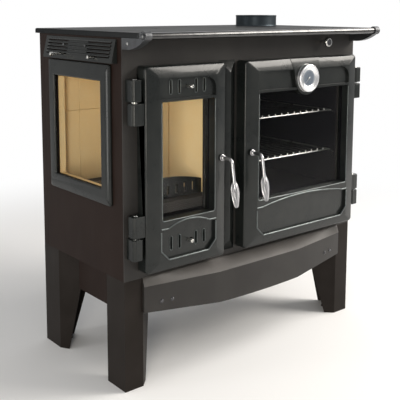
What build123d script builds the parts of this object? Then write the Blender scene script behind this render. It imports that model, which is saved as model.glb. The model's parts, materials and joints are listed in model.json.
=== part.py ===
from build123d import *
import os
from math import atan2, cos, sin, tan

os.makedirs("parts", exist_ok=True)

# A free-standing wood cookstove: sheet-steel casing on four folded legs, firebox on the left with
# a glazed cast door and a side window, oven on the right, steel hob with a rear flue collar.
# X runs to the right seen from the front, Y to the back, Z up. The origin lies on the floor, under
# the centre of the whole object's bounding box, so knobs and handles are counted in.

# ------------------------------------------------------------------ driving sizes, millimetres
BODY_W = 800.0              # casing, left side to right side
BODY_D = 386.0              # casing, front plate to back panel
HOB_HEIGHT = 850.0          # floor to the top of the hob
LEG_H = 271.0               # floor to the underside of the casing
SHEET = 3.0                 # casing sheet
THIN = 2.0                  # inner sheet: oven, ash box, divider
SEAT = 0.3                  # gap of a piece that slides on or lies in another
RUN = 0.05                  # radial clearance of a turning pin or shaft

HOB_T = 12.5
HOB_SIDE = 1.0              # overhangs of the hob
HOB_FRONT = 68.0
HOB_REAR = 26.0
LID_R = 100.0               # removable hob lid
LID_LEDGE = 8.0
LID_T = 6.0
LID_PLAY = 1.0
LID_SLOT = (22.0, 9.0)      # slot that takes the lifting hook
FLUE_BORE_R = 60.5          # takes a 120 mm flue pipe
FLUE_WALL = 1.8
FLUE_RISE = 32.0
FLUE_FROM_RIGHT = 100.0     # flue axis from the right side and from the back
FLUE_FROM_BACK = 83.0

RAIL_R = 8.0
RAIL_OUT = 82.0             # rail axis in front of the front plate
RAIL_DROP = 7.0             # rail axis below the hob top
BRACKET_T = 18.0
BRACKET_H = 26.0
CAP_R = 7.0

LEG_FRONT_W = 52.0          # flat of the leg on the front and on the side
LEG_SIDE_W = 76.0
FRONT_FLANGE = (21.0, 75.0)     # inward run of the front flange, as deep as it is wide, at foot and top
SIDE_FLANGE = (22.0, 71.0)      # run of the side flange along the side, foot and top
SIDE_FLANGE_LEAN = 0.62         # its run inward, as a share of that
PAD_T = 4.0
FOOT_R = 12.0
FOOT_T = 5.0
SCREW_R = 4.0
APRON_INSET = 31.0
APRON_DROP = 99.0
APRON_LIP = 20.0

SKIRT_SIDE = 51.0           # skirt's end inside the casing's side
SKIRT_FOLD = 141.0          # fold lines of the three facets, from the middle
SKIRT_TOP_DROP = 21.0       # top edge of the front faces below the casing
SKIRT_END_DROP = 85.0
SKIRT_FOLD_DROP = 100.0
SKIRT_MID_DROP = 103.0
SKIRT_END_OUT = 7.0         # how far the facets stand out at the ends and at the folds
SKIRT_FOLD_OUT = 41.0
SKIRT_SEAT = (3.0, 6.0)     # the same for the line where the sloping top meets the casing
SKIRT_T = 2.5
BOLT_R = 4.5
SKIRT_BOLTS = (46.0, 74.0)  # bolts from the skirt's end
SKIRT_BOLT_DROP = 64.0

DOOR_FOOT = 18.0            # both doors: lower edge above the casing's foot, upper edge below its top
DOOR_HEAD = 63.5
DOOR_SIDE = (38.0, 28.0)    # casing's side to the firebox door, and to the oven door
DOOR_POST_GAP = 4.5
DOOR_EDGE_T = 34.0          # front of the door's outer edge, from the front plate
DOOR_FACE_T = 43.0          # front of the raised field
DOOR_GAP = 2.0              # back of the door to the front plate
DOOR_WALL = 6.0
DOOR_FRONT_AT = 26.0        # back of the door's front wall, from the front plate
DOOR_CORNER = 10.0
BEVEL_TOP = 28.0
RIB_W = 8.0                 # sealing rib on the back of the door
RIB_END = 18.0              # rib's outer edge to the door's top and bottom edge
RECESS_DEPTH = 7.0
GLASS_T = 4.0
GLASS_LAP = 4.0
RETAINER_T = 1.5
RETAINER_END = 7.0          # retainer beyond the glass at top and bottom
RETAINER_SCREW_IN = 10.0
FB_DOOR_W = 241.0
FB_BEVEL = 34.0
FB_GLASS_SIDE = 45.5        # door's side edge to its glass
FB_RIB_PLAY = 6.0           # sealing rib's opening wider than the glass
OV_BEVEL = 38.0
OV_GLASS_SIDE = 46.0
OV_RIB_PLAY = 16.0
GLASS_FOOT = 125.0          # door's lower and upper edge to its glass
GLASS_HEAD = 86.0
UPPER_PANEL_IN = (77.0, 30.0)   # recessed panels, from the door's upper and from its lower edge
UPPER_ROUND = 30.0
LOWER_PANEL_IN = (29.0, 100.0)
LOWER_ARCH = 13.0
LOWER_CLIP = 22.0
PANEL_SIDE = 7.0            # panel wider than the glass opening at each side

SLOT_W = 6.0                # air slots in the firebox door
SLOT_H = 32.0
SLOT_PITCH = 25.0
SLIDER_T = 2.0
SLIDER_W = 124.0
SLIDER_H = 38.0
SLIDER_TRAVEL = 12.5
KNOB_R = 4.5
KNOB_L = 20.0
STEM_R = 3.0

HINGE_OUT = 17.0            # hinge axis beside the door's edge and in front of the front plate
KNUCKLE_R = 14.0
PIN_R = 4.0
COLLAR_T = 3.0
COLLAR_R = 7.5
FB_KNUCKLE_H = 52.0
OV_KNUCKLE_H = 44.0
HINGE_IN = (89.0, 82.0)     # hinges' middles from the door's lower and upper edge

HANDLE_RISE = 9.5           # handle axis above the door's middle
HANDLE_IN = 18.0            # handle axis inside the door's free edge
SHAFT_R = 5.0
BOSS_R = 9.0
HUB_R = 8.0
HANDLE_REACH = 78.0         # bend of the handle rod in front of the front plate
ROD_R = 4.5
HANDLE_LEAN = 1 / 6         # the hanging rod and grip lean forward by this share of the drop
GRIP_DROP = (54.0, 124.0)   # grip's two ends below the handle axis
GRIP_RADII = (5.0, 8.5, 10.5, 10.0, 8.0, 5.0)
GRIP_TWIST = 9.0            # turn from one grip section to the next
GRIP_SIDES = 8
FINIAL_R = 5.0
LATCH_W = 9.0
LATCH_L = 16.0
LATCH_T = 4.0
LATCH_BEHIND = 4.0          # latch behind the front plate's inner face
LATCH_PLAY = 2.0            # slot wider than the shaft, at each side
LATCH_PLATE_H = 60.0        # plate with the two slots, let in flush between the doorways

DIAL_R = 25.0
BEZEL_R = 38.0
BEZEL_OUT = 12.0
DIAL_DROP = 54.0            # dial below the door's upper edge
BOSS_DIAL_R = 43.0          # boss behind the thermometer: half width at the dial and at the door's top
BOSS_SHOULDER = 55.0
BOSS_NECK = 8.0             # where its sides turn into its round lower end, and that end, below the dial
BOSS_DROP = 45.0

WINDOW_SIDE = (44.0, 57.0)  # side window's frame from the casing's front and back
WINDOW_SILL = 44.0          # its opening above the firebox floor
WINDOW_HEAD = 4.0           # its frame below the grille
WINDOW_RIM_Y = 34.5
WINDOW_RIM_Z = 41.0
WINDOW_PROUD = 12.0
WINDOW_LAP = 6.0
WINDOW_REBATE = 6.0

GRILLE_SIDE = (20.0, 46.0)  # grille from the casing's front and back
GRILLE_H = 54.0
GRILLE_DROP = 4.5           # its top below the casing's top
GRILLE_OUT = (15.0, 3.0)    # how far the grille stands out at its bottom and top
GRILLE_T = 2.5
GRILLE_SLOTS = 5
GRILLE_PITCH = 8.0
GRILLE_FIRST = 11.0         # lowest slot above the grille's foot
GRILLE_SLOT_H = 3.5
GRILLE_PLAIN = 90.0         # plain middle between the slots
GRILLE_MARGIN = 14.0
PULLS = ((-75.0, 47.5), (65.0, 45.5))   # front and rear air pull from the grille's middle and top
PULL_OUT = (28.0, 48.0)     # how far each stands out at rest
PULL_KNOB_R = 8.0
PULL_KNOB_L = 12.0
PULL_DISC_R = 13.0

LINING_T = 25.0
SIDE_LINING_T = 20.0
FLOOR_RISE = 169.0          # top of the firebox floor above the casing's foot
FIREBOX_PAST = 48.5         # right face of the right lining beyond the doorway
LINING_DROP = 102.5         # top of the linings below the casing's top
REAR_BOARDS = (0.3, 0.654)  # joints of the rear boards, as shares of its width and height
BACK_GAP = 20.0             # lining to back panel
LINING_BEHIND = 14.0        # side linings behind the front plate, so that the latch can turn
BAFFLE_T = 20.0
GRATE_W = 170.0
GRATE_D = 230.0
GRATE_T = 12.0
GRATE_BARS = 9
GRATE_SLOT = 8.0
GUARD_H = 52.0
GUARD_T = 8.0
GUARD_FROM_PLATE = 40.0
ASH_PLAY = 5.0              # pan's sides to the doorway
ASH_BEHIND = 70.0           # ash box to the back panel
ASH_H = 52.0
ASH_FLANGE = 22.0
PAN_GRIP = (50.0, 14.0)     # finger hole of the pan

OVEN_BEHIND = 50.0          # oven to the back panel
OVEN_RISE = 129.0           # oven floor above the casing's foot
RACK_AT = (0.285, 0.619)    # racks, as shares of the oven's height
RACK_R = 2.8
RACK_CROSS_R = 2.5
RACK_SIDES = 8              # the drawn wires are slightly octagonal
RACK_WIRE_R = 1.9
RACK_WIRES = 11
RACK_FROM_PLATE = 15.0
GUIDE_W = 9.0
GUIDE_T = 3.0
DIVIDER_DROP = 38.0         # smoke divider below the hob's underside
DIVIDER_HOLE = 90.0
DAMPER_W = 110.0
DAMPER_FROM_RIGHT = 138.0   # damper rod from the casing's right side
DAMPER_DROP = 26.5          # damper rod below the casing's top
DAMPER_ROD_R = 4.0
DAMPER_KNOB_R = 13.0
DAMPER_KNOB_T = 8.0
DAMPER_LUG = 10.0
DAMPER_STEM = 22.0

POST_W = 56.0
POST_OUT = 16.0
POST_HIP = 30.0
POST_PAST = (3.0, 2.0)      # post beyond the doors' lower and upper edges

# ------------------------------------------------------------------ places worked out from them
CX = (PULL_OUT[1] - HOB_SIDE - CAP_R) / 2
CY = (HANDLE_REACH + HANDLE_LEAN * GRIP_DROP[1] + FINIAL_R - HOB_REAR) / 2
LEFT, RIGHT = CX - BODY_W / 2, CX + BODY_W / 2
FRONT, BACK = CY - BODY_D / 2, CY + BODY_D / 2
BODY_TOP = HOB_HEIGHT - HOB_T
INNER_FRONT, INNER_BACK = FRONT + SHEET, BACK - SHEET

DOOR_BOTTOM, DOOR_TOP = LEG_H + DOOR_FOOT, BODY_TOP - DOOR_HEAD
DOOR_H = DOOR_TOP - DOOR_BOTTOM
DOOR_Z = (DOOR_BOTTOM + DOOR_TOP) / 2
GLASS_H = DOOR_H - GLASS_FOOT - GLASS_HEAD
GLASS_Z = DOOR_BOTTOM + GLASS_FOOT + GLASS_H / 2
UPPER_PANEL = [DOOR_TOP - drop for drop in UPPER_PANEL_IN]
LOWER_PANEL = [DOOR_BOTTOM + rise for rise in LOWER_PANEL_IN]
HINGE_Z = (DOOR_BOTTOM + HINGE_IN[0], DOOR_TOP - HINGE_IN[1])
HANDLE_Z = DOOR_Z + HANDLE_RISE
DIAL_Z = DOOR_TOP - DIAL_DROP

FB_X = LEFT + DOOR_SIDE[0] + FB_DOOR_W / 2
POST_X = FB_X + FB_DOOR_W / 2 + DOOR_POST_GAP + POST_W / 2
POST_Z = (DOOR_BOTTOM - POST_PAST[0], DOOR_TOP + POST_PAST[1])
OV_DOOR_W = RIGHT - DOOR_SIDE[1] - (POST_X + POST_W / 2 + DOOR_POST_GAP)
OV_X = RIGHT - DOOR_SIDE[1] - OV_DOOR_W / 2
FB_GLASS_W, OV_GLASS_W = FB_DOOR_W - 2 * FB_GLASS_SIDE, OV_DOOR_W - 2 * OV_GLASS_SIDE
FB_OPEN_W, OV_OPEN_W = FB_GLASS_W + FB_RIB_PLAY, OV_GLASS_W + OV_RIB_PLAY
RIB_PAST = RIB_W + GLASS_LAP        # rib's outer edge beyond the doorway
FB_RIB_W, OV_RIB_W = FB_OPEN_W + 2 * RIB_PAST, OV_OPEN_W + 2 * RIB_PAST
RIB_H = DOOR_H - 2 * RIB_END
OPENING_H = RIB_H - 2 * RIB_PAST
DOORWAY_TOP = DOOR_Z + OPENING_H / 2

FLOOR_Z, LINING_TOP = LEG_H + FLOOR_RISE, BODY_TOP - LINING_DROP
FIREBOX_LEFT, FIREBOX_R = LEFT + SHEET, FB_X + FB_OPEN_W / 2 + FIREBOX_PAST
LINING_FRONT, LINING_BACK = INNER_FRONT + LINING_BEHIND, INNER_BACK - BACK_GAP
ASH_W = FB_OPEN_W - 2 * ASH_PLAY
ASH_D = INNER_BACK - ASH_BEHIND - INNER_FRONT
OVEN_FLOOR = LEG_H + OVEN_RISE
OVEN_D = INNER_BACK - OVEN_BEHIND - INNER_FRONT
RACK_D = OVEN_D - 2 * RACK_FROM_PLATE
RACK_Z = [OVEN_FLOOR + share * (DOORWAY_TOP - OVEN_FLOOR) for share in RACK_AT]

GRILLE_TOP = BODY_TOP - GRILLE_DROP
GRILLE_Z = (GRILLE_TOP - GRILLE_H, GRILLE_TOP)
GRILLE_L = BODY_D - sum(GRILLE_SIDE)
GRILLE_MID_Y = FRONT + GRILLE_SIDE[0] + GRILLE_L / 2
PULL_YZ = [(GRILLE_MID_Y + along, BODY_TOP - drop) for along, drop in PULLS]
WINDOW_TOP = GRILLE_Z[0] - WINDOW_HEAD - WINDOW_RIM_Z
WINDOW_H = WINDOW_TOP - FLOOR_Z - WINDOW_SILL
WINDOW_Z = WINDOW_TOP - WINDOW_H / 2
WINDOW_W = BODY_D - sum(WINDOW_SIDE) - 2 * WINDOW_RIM_Y
WINDOW_Y = FRONT + WINDOW_SIDE[0] + WINDOW_RIM_Y + WINDOW_W / 2

SKIRT_HALF_W = BODY_W / 2 - SKIRT_SIDE
FLUE_X, FLUE_Y = RIGHT - FLUE_FROM_RIGHT, BACK - FLUE_FROM_BACK
RAIL_Y, RAIL_Z = FRONT - RAIL_OUT, HOB_HEIGHT - RAIL_DROP
DAMPER_ROD_X = RIGHT - DAMPER_FROM_RIGHT
DAMPER_Z = BODY_TOP - DAMPER_DROP
DIVIDER_Z = BODY_TOP - DIVIDER_DROP


# ------------------------------------------------------------------ helpers
def block(xs, ys, zs, mode=Mode.ADD):
    """A box between the given pairs of coordinates."""
    sizes = [hi - lo for lo, hi in (xs, ys, zs)]
    middle = tuple((lo + hi) / 2 for lo, hi in (xs, ys, zs))
    with Locations(Location(middle)):
        Box(*sizes, mode=mode)


def span(middle, size):
    """The two ends of a size laid about its middle."""
    return middle - size / 2, middle + size / 2


def facing(y):
    """The plane at y that faces the front; its own x and y run along X and Z."""
    return Plane.XZ.offset(-y)


def rod(start, end, radius, mode=Mode.ADD):
    """A round bar between two points."""
    direction = Vector(*end) - Vector(*start)
    with BuildSketch(Plane(origin=start, z_dir=direction)) as section:
        Circle(radius)
    extrude(section.sketch, amount=direction.length, mode=mode)


def hole(start, end, radius):
    """A round hole between two points."""
    rod(start, end, radius, Mode.SUBTRACT)


def finish(builder, label):
    """Name a finished piece and write it."""
    builder.part.label = label
    export_step(builder.part, f"parts/{label}.step")


# ------------------------------------------------------------------ legs, aprons and skirt
def leg_plan(z):
    """Outer line of the front left leg's section at height z, from free edge to free edge."""
    share = z / LEG_H
    front = FRONT_FLANGE[0] + (FRONT_FLANGE[1] - FRONT_FLANGE[0]) * share
    along = SIDE_FLANGE[0] + (SIDE_FLANGE[1] - SIDE_FLANGE[0]) * share
    return [(LEFT + LEG_FRONT_W + front, FRONT + front), (LEFT + LEG_FRONT_W, FRONT), (LEFT, FRONT),
            (LEFT, FRONT + LEG_SIDE_W), (LEFT + SIDE_FLANGE_LEAN * along, FRONT + LEG_SIDE_W + along)]


FOOT_AT = (LEFT + LEG_FRONT_W / 2, FRONT + LEG_FRONT_W / 2)

with BuildPart() as leg_front_left:
    for height in (0, LEG_H):
        with BuildSketch(Plane.XY.offset(height)):
            with BuildLine():
                fold_line = Polyline(*leg_plan(height))
                offset(fold_line, amount=SHEET, side=Side.RIGHT, kind=Kind.INTERSECTION)
            make_face()
    loft(ruled=True)
    for pad_z in (FOOT_T, LEG_H - PAD_T):
        with BuildSketch(Plane.XY.offset(pad_z)):
            with BuildLine():
                Polyline((LEFT + SHEET, FRONT + SHEET), (LEFT + LEG_FRONT_W, FRONT + SHEET),
                         (LEFT + LEG_FRONT_W, FRONT + LEG_FRONT_W), (LEFT + SHEET, FRONT + LEG_SIDE_W),
                         close=True)
            make_face()
            with Locations(FOOT_AT):
                Circle(SCREW_R + SEAT, mode=Mode.SUBTRACT)
        extrude(amount=PAD_T)
finish(leg_front_left, "leg_front_left")

ACROSS, ALONG = Plane.YZ.offset(CX), Plane.XZ.offset(-CY)
with BuildPart() as leg_front_right:
    mirror(leg_front_left.part, about=ACROSS)
finish(leg_front_right, "leg_front_right")
with BuildPart() as leg_rear_left:
    mirror(leg_front_left.part, about=ALONG)
finish(leg_rear_left, "leg_rear_left")
with BuildPart() as leg_rear_right:
    mirror(leg_rear_left.part, about=ACROSS)
finish(leg_rear_right, "leg_rear_right")

with BuildPart() as levelling_feet:
    with BuildSketch():
        with Locations(FOOT_AT):
            Circle(FOOT_R)
    extrude(amount=FOOT_T)
    rod((*FOOT_AT, FOOT_T), (*FOOT_AT, FOOT_T + PAD_T + 4 * SCREW_R), SCREW_R)
    mirror(about=ACROSS)
    mirror(about=ALONG)
finish(levelling_feet, "levelling_feet")


SIDE_APRON_HALF = BODY_D / 2 - LEG_SIDE_W - APRON_INSET / SIDE_FLANGE_LEAN - 2 * SHEET
REAR_APRON_HALF = BODY_W / 2 - LEG_FRONT_W - APRON_INSET - 2 * SHEET
APRON_Z = (LEG_H - APRON_DROP, LEG_H)
LIP_Z = (LEG_H - THIN, LEG_H)
SIDE_LIP_HALF = BODY_D / 2 - LEG_SIDE_W - SIDE_FLANGE[1] - SHEET
REAR_LIP_HALF = BODY_W / 2 - LEG_FRONT_W - FRONT_FLANGE[1] - SHEET

with BuildPart() as side_aprons:
    inner = LEFT + APRON_INSET
    block((inner, inner + THIN), span(CY, 2 * SIDE_APRON_HALF), APRON_Z)
    block((inner, inner + APRON_LIP), span(CY, 2 * SIDE_LIP_HALF), LIP_Z)
    mirror(about=ACROSS)
finish(side_aprons, "side_aprons")

with BuildPart() as rear_apron:
    inner = BACK - APRON_INSET
    block(span(CX, 2 * REAR_APRON_HALF), (inner - THIN, inner), APRON_Z)
    block(span(CX, 2 * REAR_LIP_HALF), (inner - APRON_LIP, inner), LIP_Z)
finish(rear_apron, "rear_apron")


def skirt_plan(end_out, fold_out):
    """Corners of the skirt's wall in plan, open at the back, its folds this far in front of the casing."""
    outer = [(-SKIRT_HALF_W, 0), (-SKIRT_HALF_W, end_out), (-SKIRT_FOLD, fold_out),
             (SKIRT_FOLD, fold_out), (SKIRT_HALF_W, end_out), (SKIRT_HALF_W, 0)]
    inner = [(x * (1 - SKIRT_T / SKIRT_HALF_W), max(out - SKIRT_T, 0)) for x, out in reversed(outer)]
    return [(CX + x, FRONT - out) for x, out in outer + inner]


SKIRT_TOP = LEG_H - SKIRT_TOP_DROP
SKIRT_BOTTOM = LEG_H - SKIRT_MID_DROP
with BuildPart() as front_skirt:
    with BuildSketch(Plane.XY.offset(SKIRT_BOTTOM)):
        Polygon(*skirt_plan(SKIRT_END_OUT, SKIRT_FOLD_OUT), align=None)
    extrude(amount=SKIRT_TOP - SKIRT_BOTTOM)
    with BuildSketch(facing(FRONT)):
        with BuildLine():
            bottom = ThreePointArc((CX - SKIRT_FOLD, LEG_H - SKIRT_FOLD_DROP), (CX, SKIRT_BOTTOM),
                                   (CX + SKIRT_FOLD, LEG_H - SKIRT_FOLD_DROP))
            Polyline(bottom @ 1, (CX + SKIRT_HALF_W, LEG_H - SKIRT_END_DROP), (CX + SKIRT_HALF_W, 0),
                     (CX - SKIRT_HALF_W, 0), (CX - SKIRT_HALF_W, LEG_H - SKIRT_END_DROP), bottom @ 0)
        make_face()
    extrude(amount=2 * SKIRT_FOLD_OUT, mode=Mode.SUBTRACT)
    for height, outs in ((SKIRT_TOP, (SKIRT_END_OUT, SKIRT_FOLD_OUT)), (LEG_H, SKIRT_SEAT)):
        with BuildSketch(Plane.XY.offset(height)):
            Polygon(*skirt_plan(*outs), align=None)
    loft(ruled=True)
finish(front_skirt, "front_skirt")

SKIRT_TURN = atan2(SKIRT_FOLD_OUT - SKIRT_END_OUT, SKIRT_HALF_W - SKIRT_FOLD)
with BuildPart() as dome_bolts:
    for side in (-1, 1):
        for inside in SKIRT_BOLTS:
            depth = SKIRT_END_OUT + inside * tan(SKIRT_TURN)
            seat = Plane(origin=(CX + side * (SKIRT_HALF_W - inside), FRONT - depth, LEG_H - SKIRT_BOLT_DROP),
                         z_dir=(side * sin(SKIRT_TURN), -cos(SKIRT_TURN), 0))
            with BuildSketch(seat):
                Circle(BOLT_R)
            extrude(amount=BOLT_R / 2, taper=30)
finish(dome_bolts, "skirt_bolts")

# ------------------------------------------------------------------ casing
FB_OPEN = (span(FB_X, FB_OPEN_W), span(DOOR_Z, OPENING_H))
OV_OPEN = (span(OV_X, OV_OPEN_W), (OVEN_FLOOR, DOORWAY_TOP))
THROUGH_FRONT = (FRONT - 1, INNER_FRONT + 1)
FB_SHAFT_X = FB_X + FB_DOOR_W / 2 - HANDLE_IN
OV_SHAFT_X = OV_X - OV_DOOR_W / 2 + HANDLE_IN
LATCH_PLATE_X = (FB_X + FB_RIB_W / 2 + THIN, OV_OPEN[0][0])

with BuildPart() as front_plate:
    block((LEFT, RIGHT), (FRONT, INNER_FRONT), (LEG_H, BODY_TOP))
    block(FB_OPEN[0], THROUGH_FRONT, FB_OPEN[1], Mode.SUBTRACT)
    block(OV_OPEN[0], THROUGH_FRONT, OV_OPEN[1], Mode.SUBTRACT)
    block((LATCH_PLATE_X[0], LATCH_PLATE_X[1] + 1), THROUGH_FRONT, span(HANDLE_Z, LATCH_PLATE_H), Mode.SUBTRACT)
    hole((DAMPER_ROD_X, FRONT - 1, DAMPER_Z), (DAMPER_ROD_X, INNER_FRONT + 1, DAMPER_Z),
         DAMPER_ROD_R + SEAT)
finish(front_plate, "front_plate")

# the two latches pass its slots and turn behind it
with BuildPart() as latch_plate:
    block((LATCH_PLATE_X[0] + SEAT, LATCH_PLATE_X[1]), (FRONT, INNER_FRONT),
          span(HANDLE_Z, LATCH_PLATE_H - 2 * SEAT))
    for shaft_x in (FB_SHAFT_X, OV_SHAFT_X):
        block(span(shaft_x, 2 * (SHAFT_R + LATCH_PLAY)), THROUGH_FRONT,
              (HANDLE_Z - LATCH_L - SHAFT_R, HANDLE_Z + SHAFT_R + LATCH_PLAY), Mode.SUBTRACT)
finish(latch_plate, "latch_plate")

PANEL_REAR = BACK - BACK_GAP - SHEET
CASING_Z = (LEG_H, BODY_TOP)
PANEL_WINDOW = (span(WINDOW_Y, WINDOW_W + WINDOW_LAP), span(WINDOW_Z, WINDOW_H + WINDOW_LAP))

with BuildPart() as left_side_panel:
    block((LEFT, LEFT + SHEET), (INNER_FRONT, PANEL_REAR), CASING_Z)
    block((LEFT - 1, LEFT + SHEET + 1), *PANEL_WINDOW, Mode.SUBTRACT)
    for pull_y, pull_z in PULL_YZ:
        hole((LEFT - 1, pull_y, pull_z), (LEFT + SHEET + 1, pull_y, pull_z), STEM_R + SEAT)
finish(left_side_panel, "left_side_panel")

with BuildPart() as right_side_panel:
    block((RIGHT - SHEET, RIGHT), (INNER_FRONT, PANEL_REAR), CASING_Z)
finish(right_side_panel, "right_side_panel")

with BuildPart() as back_panel:
    block((LEFT, RIGHT), (INNER_BACK, BACK), CASING_Z)
    block((LEFT, LEFT + SHEET), (PANEL_REAR, INNER_BACK), CASING_Z)
    block((RIGHT - SHEET, RIGHT), (PANEL_REAR, INNER_BACK), CASING_Z)
finish(back_panel, "back_panel")

with BuildPart() as base_plate:
    block((LEFT + SHEET, RIGHT - SHEET), (INNER_FRONT, INNER_BACK), (LEG_H, LEG_H + SHEET))
finish(base_plate, "base_plate")

with BuildPart() as centre_post:
    with BuildSketch(facing(FRONT)):
        with Locations((POST_X, sum(POST_Z) / 2)):
            Rectangle(POST_W, POST_Z[1] - POST_Z[0])
    with BuildSketch(facing(FRONT - POST_OUT)):
        with Locations((POST_X, sum(POST_Z) / 2)):
            Rectangle(2, POST_Z[1] - POST_Z[0] - 2 * POST_HIP)
    loft(ruled=True)
finish(centre_post, "centre_post")

# ------------------------------------------------------------------ hob, flue and rail
LID_X, LID_Y = FB_X, CY
with BuildPart() as hob_plate:
    block((LEFT - HOB_SIDE, RIGHT + HOB_SIDE), (FRONT - HOB_FRONT, BACK + HOB_REAR), (BODY_TOP, HOB_HEIGHT))
    fillet(hob_plate.edges().filter_by(Axis.Z), HOB_T / 2)
    chamfer(hob_plate.faces().sort_by(Axis.Z)[-1].edges(), HOB_T / 6)
    hole((FLUE_X, FLUE_Y, BODY_TOP - 1), (FLUE_X, FLUE_Y, HOB_HEIGHT + 1), FLUE_BORE_R + FLUE_WALL + SEAT)
    hole((LID_X, LID_Y, BODY_TOP - 1), (LID_X, LID_Y, HOB_HEIGHT + 1), LID_R)
    hole((LID_X, LID_Y, HOB_HEIGHT - LID_T), (LID_X, LID_Y, HOB_HEIGHT + 1), LID_R + LID_LEDGE + SEAT)
finish(hob_plate, "hob_plate")

with BuildPart() as hob_lid:
    with BuildSketch(Plane.XY.offset(HOB_HEIGHT - LID_T)):
        with Locations((LID_X, LID_Y)):
            Circle(LID_R + LID_LEDGE)
    extrude(amount=LID_T)
    with BuildSketch(Plane.XY.offset(HOB_HEIGHT - HOB_T)):
        with Locations((LID_X, LID_Y)):
            Circle(LID_R - LID_PLAY)
            Circle(LID_R - LID_PLAY - 2 * THIN, mode=Mode.SUBTRACT)
    extrude(amount=HOB_T - LID_T)
    with BuildSketch(Plane.XY.offset(HOB_HEIGHT)):
        with Locations((LID_X + LID_R * 0.7, LID_Y)):
            SlotOverall(*LID_SLOT)
    extrude(amount=-LID_T * 0.6, mode=Mode.SUBTRACT)
finish(hob_lid, "hob_lid")

with BuildPart() as flue_collar:
    with BuildSketch(Plane.XY.offset(BODY_TOP - SHEET)):
        with Locations((FLUE_X, FLUE_Y)):
            Circle(FLUE_BORE_R + 5 * SHEET)
            Circle(FLUE_BORE_R, mode=Mode.SUBTRACT)
    extrude(amount=SHEET)
    with BuildSketch(Plane.XY.offset(BODY_TOP)):
        with Locations((FLUE_X, FLUE_Y)):
            Circle(FLUE_BORE_R + FLUE_WALL)
            Circle(FLUE_BORE_R, mode=Mode.SUBTRACT)
    extrude(amount=HOB_T + FLUE_RISE)
finish(flue_collar, "flue_collar")

RAIL_END = BODY_W / 2 + HOB_SIDE - BRACKET_T
with BuildPart() as towel_rail:
    rod((CX - RAIL_END, RAIL_Y, RAIL_Z), (CX + RAIL_END, RAIL_Y, RAIL_Z), RAIL_R)
finish(towel_rail, "towel_rail")

NOSE_R = RAIL_R + 3
with BuildPart() as rail_brackets:
    with BuildSketch(Plane.YZ.offset(LEFT - HOB_SIDE)):
        with BuildLine():
            Line((FRONT, BODY_TOP), (FRONT, BODY_TOP - BRACKET_H))
            Line((FRONT, BODY_TOP - BRACKET_H), (FRONT - BRACKET_H, BODY_TOP - BRACKET_H))
            ThreePointArc((FRONT - BRACKET_H, BODY_TOP - BRACKET_H),
                          (FRONT - 2.3 * BRACKET_H, BODY_TOP - 0.68 * BRACKET_H),
                          (RAIL_Y, RAIL_Z - NOSE_R))
            Line((RAIL_Y, RAIL_Z - NOSE_R), (RAIL_Y, BODY_TOP))
            Line((RAIL_Y, BODY_TOP), (FRONT, BODY_TOP))
        make_face()
        with Locations((RAIL_Y, RAIL_Z)):
            Circle(NOSE_R)
        with Locations(((FRONT - HOB_FRONT - SEAT + RAIL_Y) / 2, RAIL_Z)):
            Rectangle(RAIL_OUT - HOB_FRONT - SEAT, 2 * NOSE_R * 0.7)
    extrude(amount=BRACKET_T)
    mirror(about=ACROSS)
finish(rail_brackets, "rail_brackets")

with BuildPart() as rail_end_caps:
    with Locations((CX - BODY_W / 2 - HOB_SIDE, RAIL_Y, RAIL_Z)):
        Sphere(CAP_R)
    split(bisect_by=Plane.YZ.offset(LEFT - HOB_SIDE), keep=Keep.BOTTOM)
    mirror(about=ACROSS)
finish(rail_end_caps, "rail_end_caps")

# ------------------------------------------------------------------ side window and grille
with BuildPart() as side_window_frame:
    with BuildSketch(Plane.YZ.offset(LEFT)):
        with Locations((WINDOW_Y, WINDOW_Z)):
            RectangleRounded(WINDOW_W + 2 * WINDOW_RIM_Y, WINDOW_H + 2 * WINDOW_RIM_Z, DOOR_WALL)
    extrude(amount=-WINDOW_PROUD / 2)
    with BuildSketch(Plane.YZ.offset(LEFT - WINDOW_PROUD / 2)):
        with Locations((WINDOW_Y, WINDOW_Z)):
            RectangleRounded(WINDOW_W + 2 * WINDOW_RIM_Y, WINDOW_H + 2 * WINDOW_RIM_Z, DOOR_WALL)
    with BuildSketch(Plane.YZ.offset(LEFT - WINDOW_PROUD)):
        with Locations((WINDOW_Y, WINDOW_Z)):
            RectangleRounded(WINDOW_W + 1.3 * WINDOW_RIM_Y, WINDOW_H + 1.3 * WINDOW_RIM_Y, DOOR_WALL / 2)
    loft(ruled=True)
    with BuildSketch(Plane.YZ.offset(LEFT - WINDOW_REBATE)):
        with Locations((WINDOW_Y, WINDOW_Z)):
            Rectangle(WINDOW_W, WINDOW_H)
    with BuildSketch(Plane.YZ.offset(LEFT - WINDOW_PROUD)):
        with Locations((WINDOW_Y, WINDOW_Z)):
            Rectangle(WINDOW_W + WINDOW_LAP, WINDOW_H + WINDOW_LAP)
    loft(ruled=True, mode=Mode.SUBTRACT)
    block((LEFT - WINDOW_REBATE, LEFT + 1), span(WINDOW_Y, WINDOW_W + 2 * WINDOW_LAP),
          span(WINDOW_Z, WINDOW_H + 2 * WINDOW_LAP), Mode.SUBTRACT)
finish(side_window_frame, "side_window_frame")

WINDOW_GLASS = (span(WINDOW_Y, WINDOW_W + 2 * WINDOW_LAP - 2 * SEAT),
                span(WINDOW_Z, WINDOW_H + 2 * WINDOW_LAP - 2 * SEAT))
with BuildPart() as side_window_glass:
    block((LEFT - SEAT - GLASS_T, LEFT - SEAT), *WINDOW_GLASS)
finish(side_window_glass, "side_window_glass")

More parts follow.
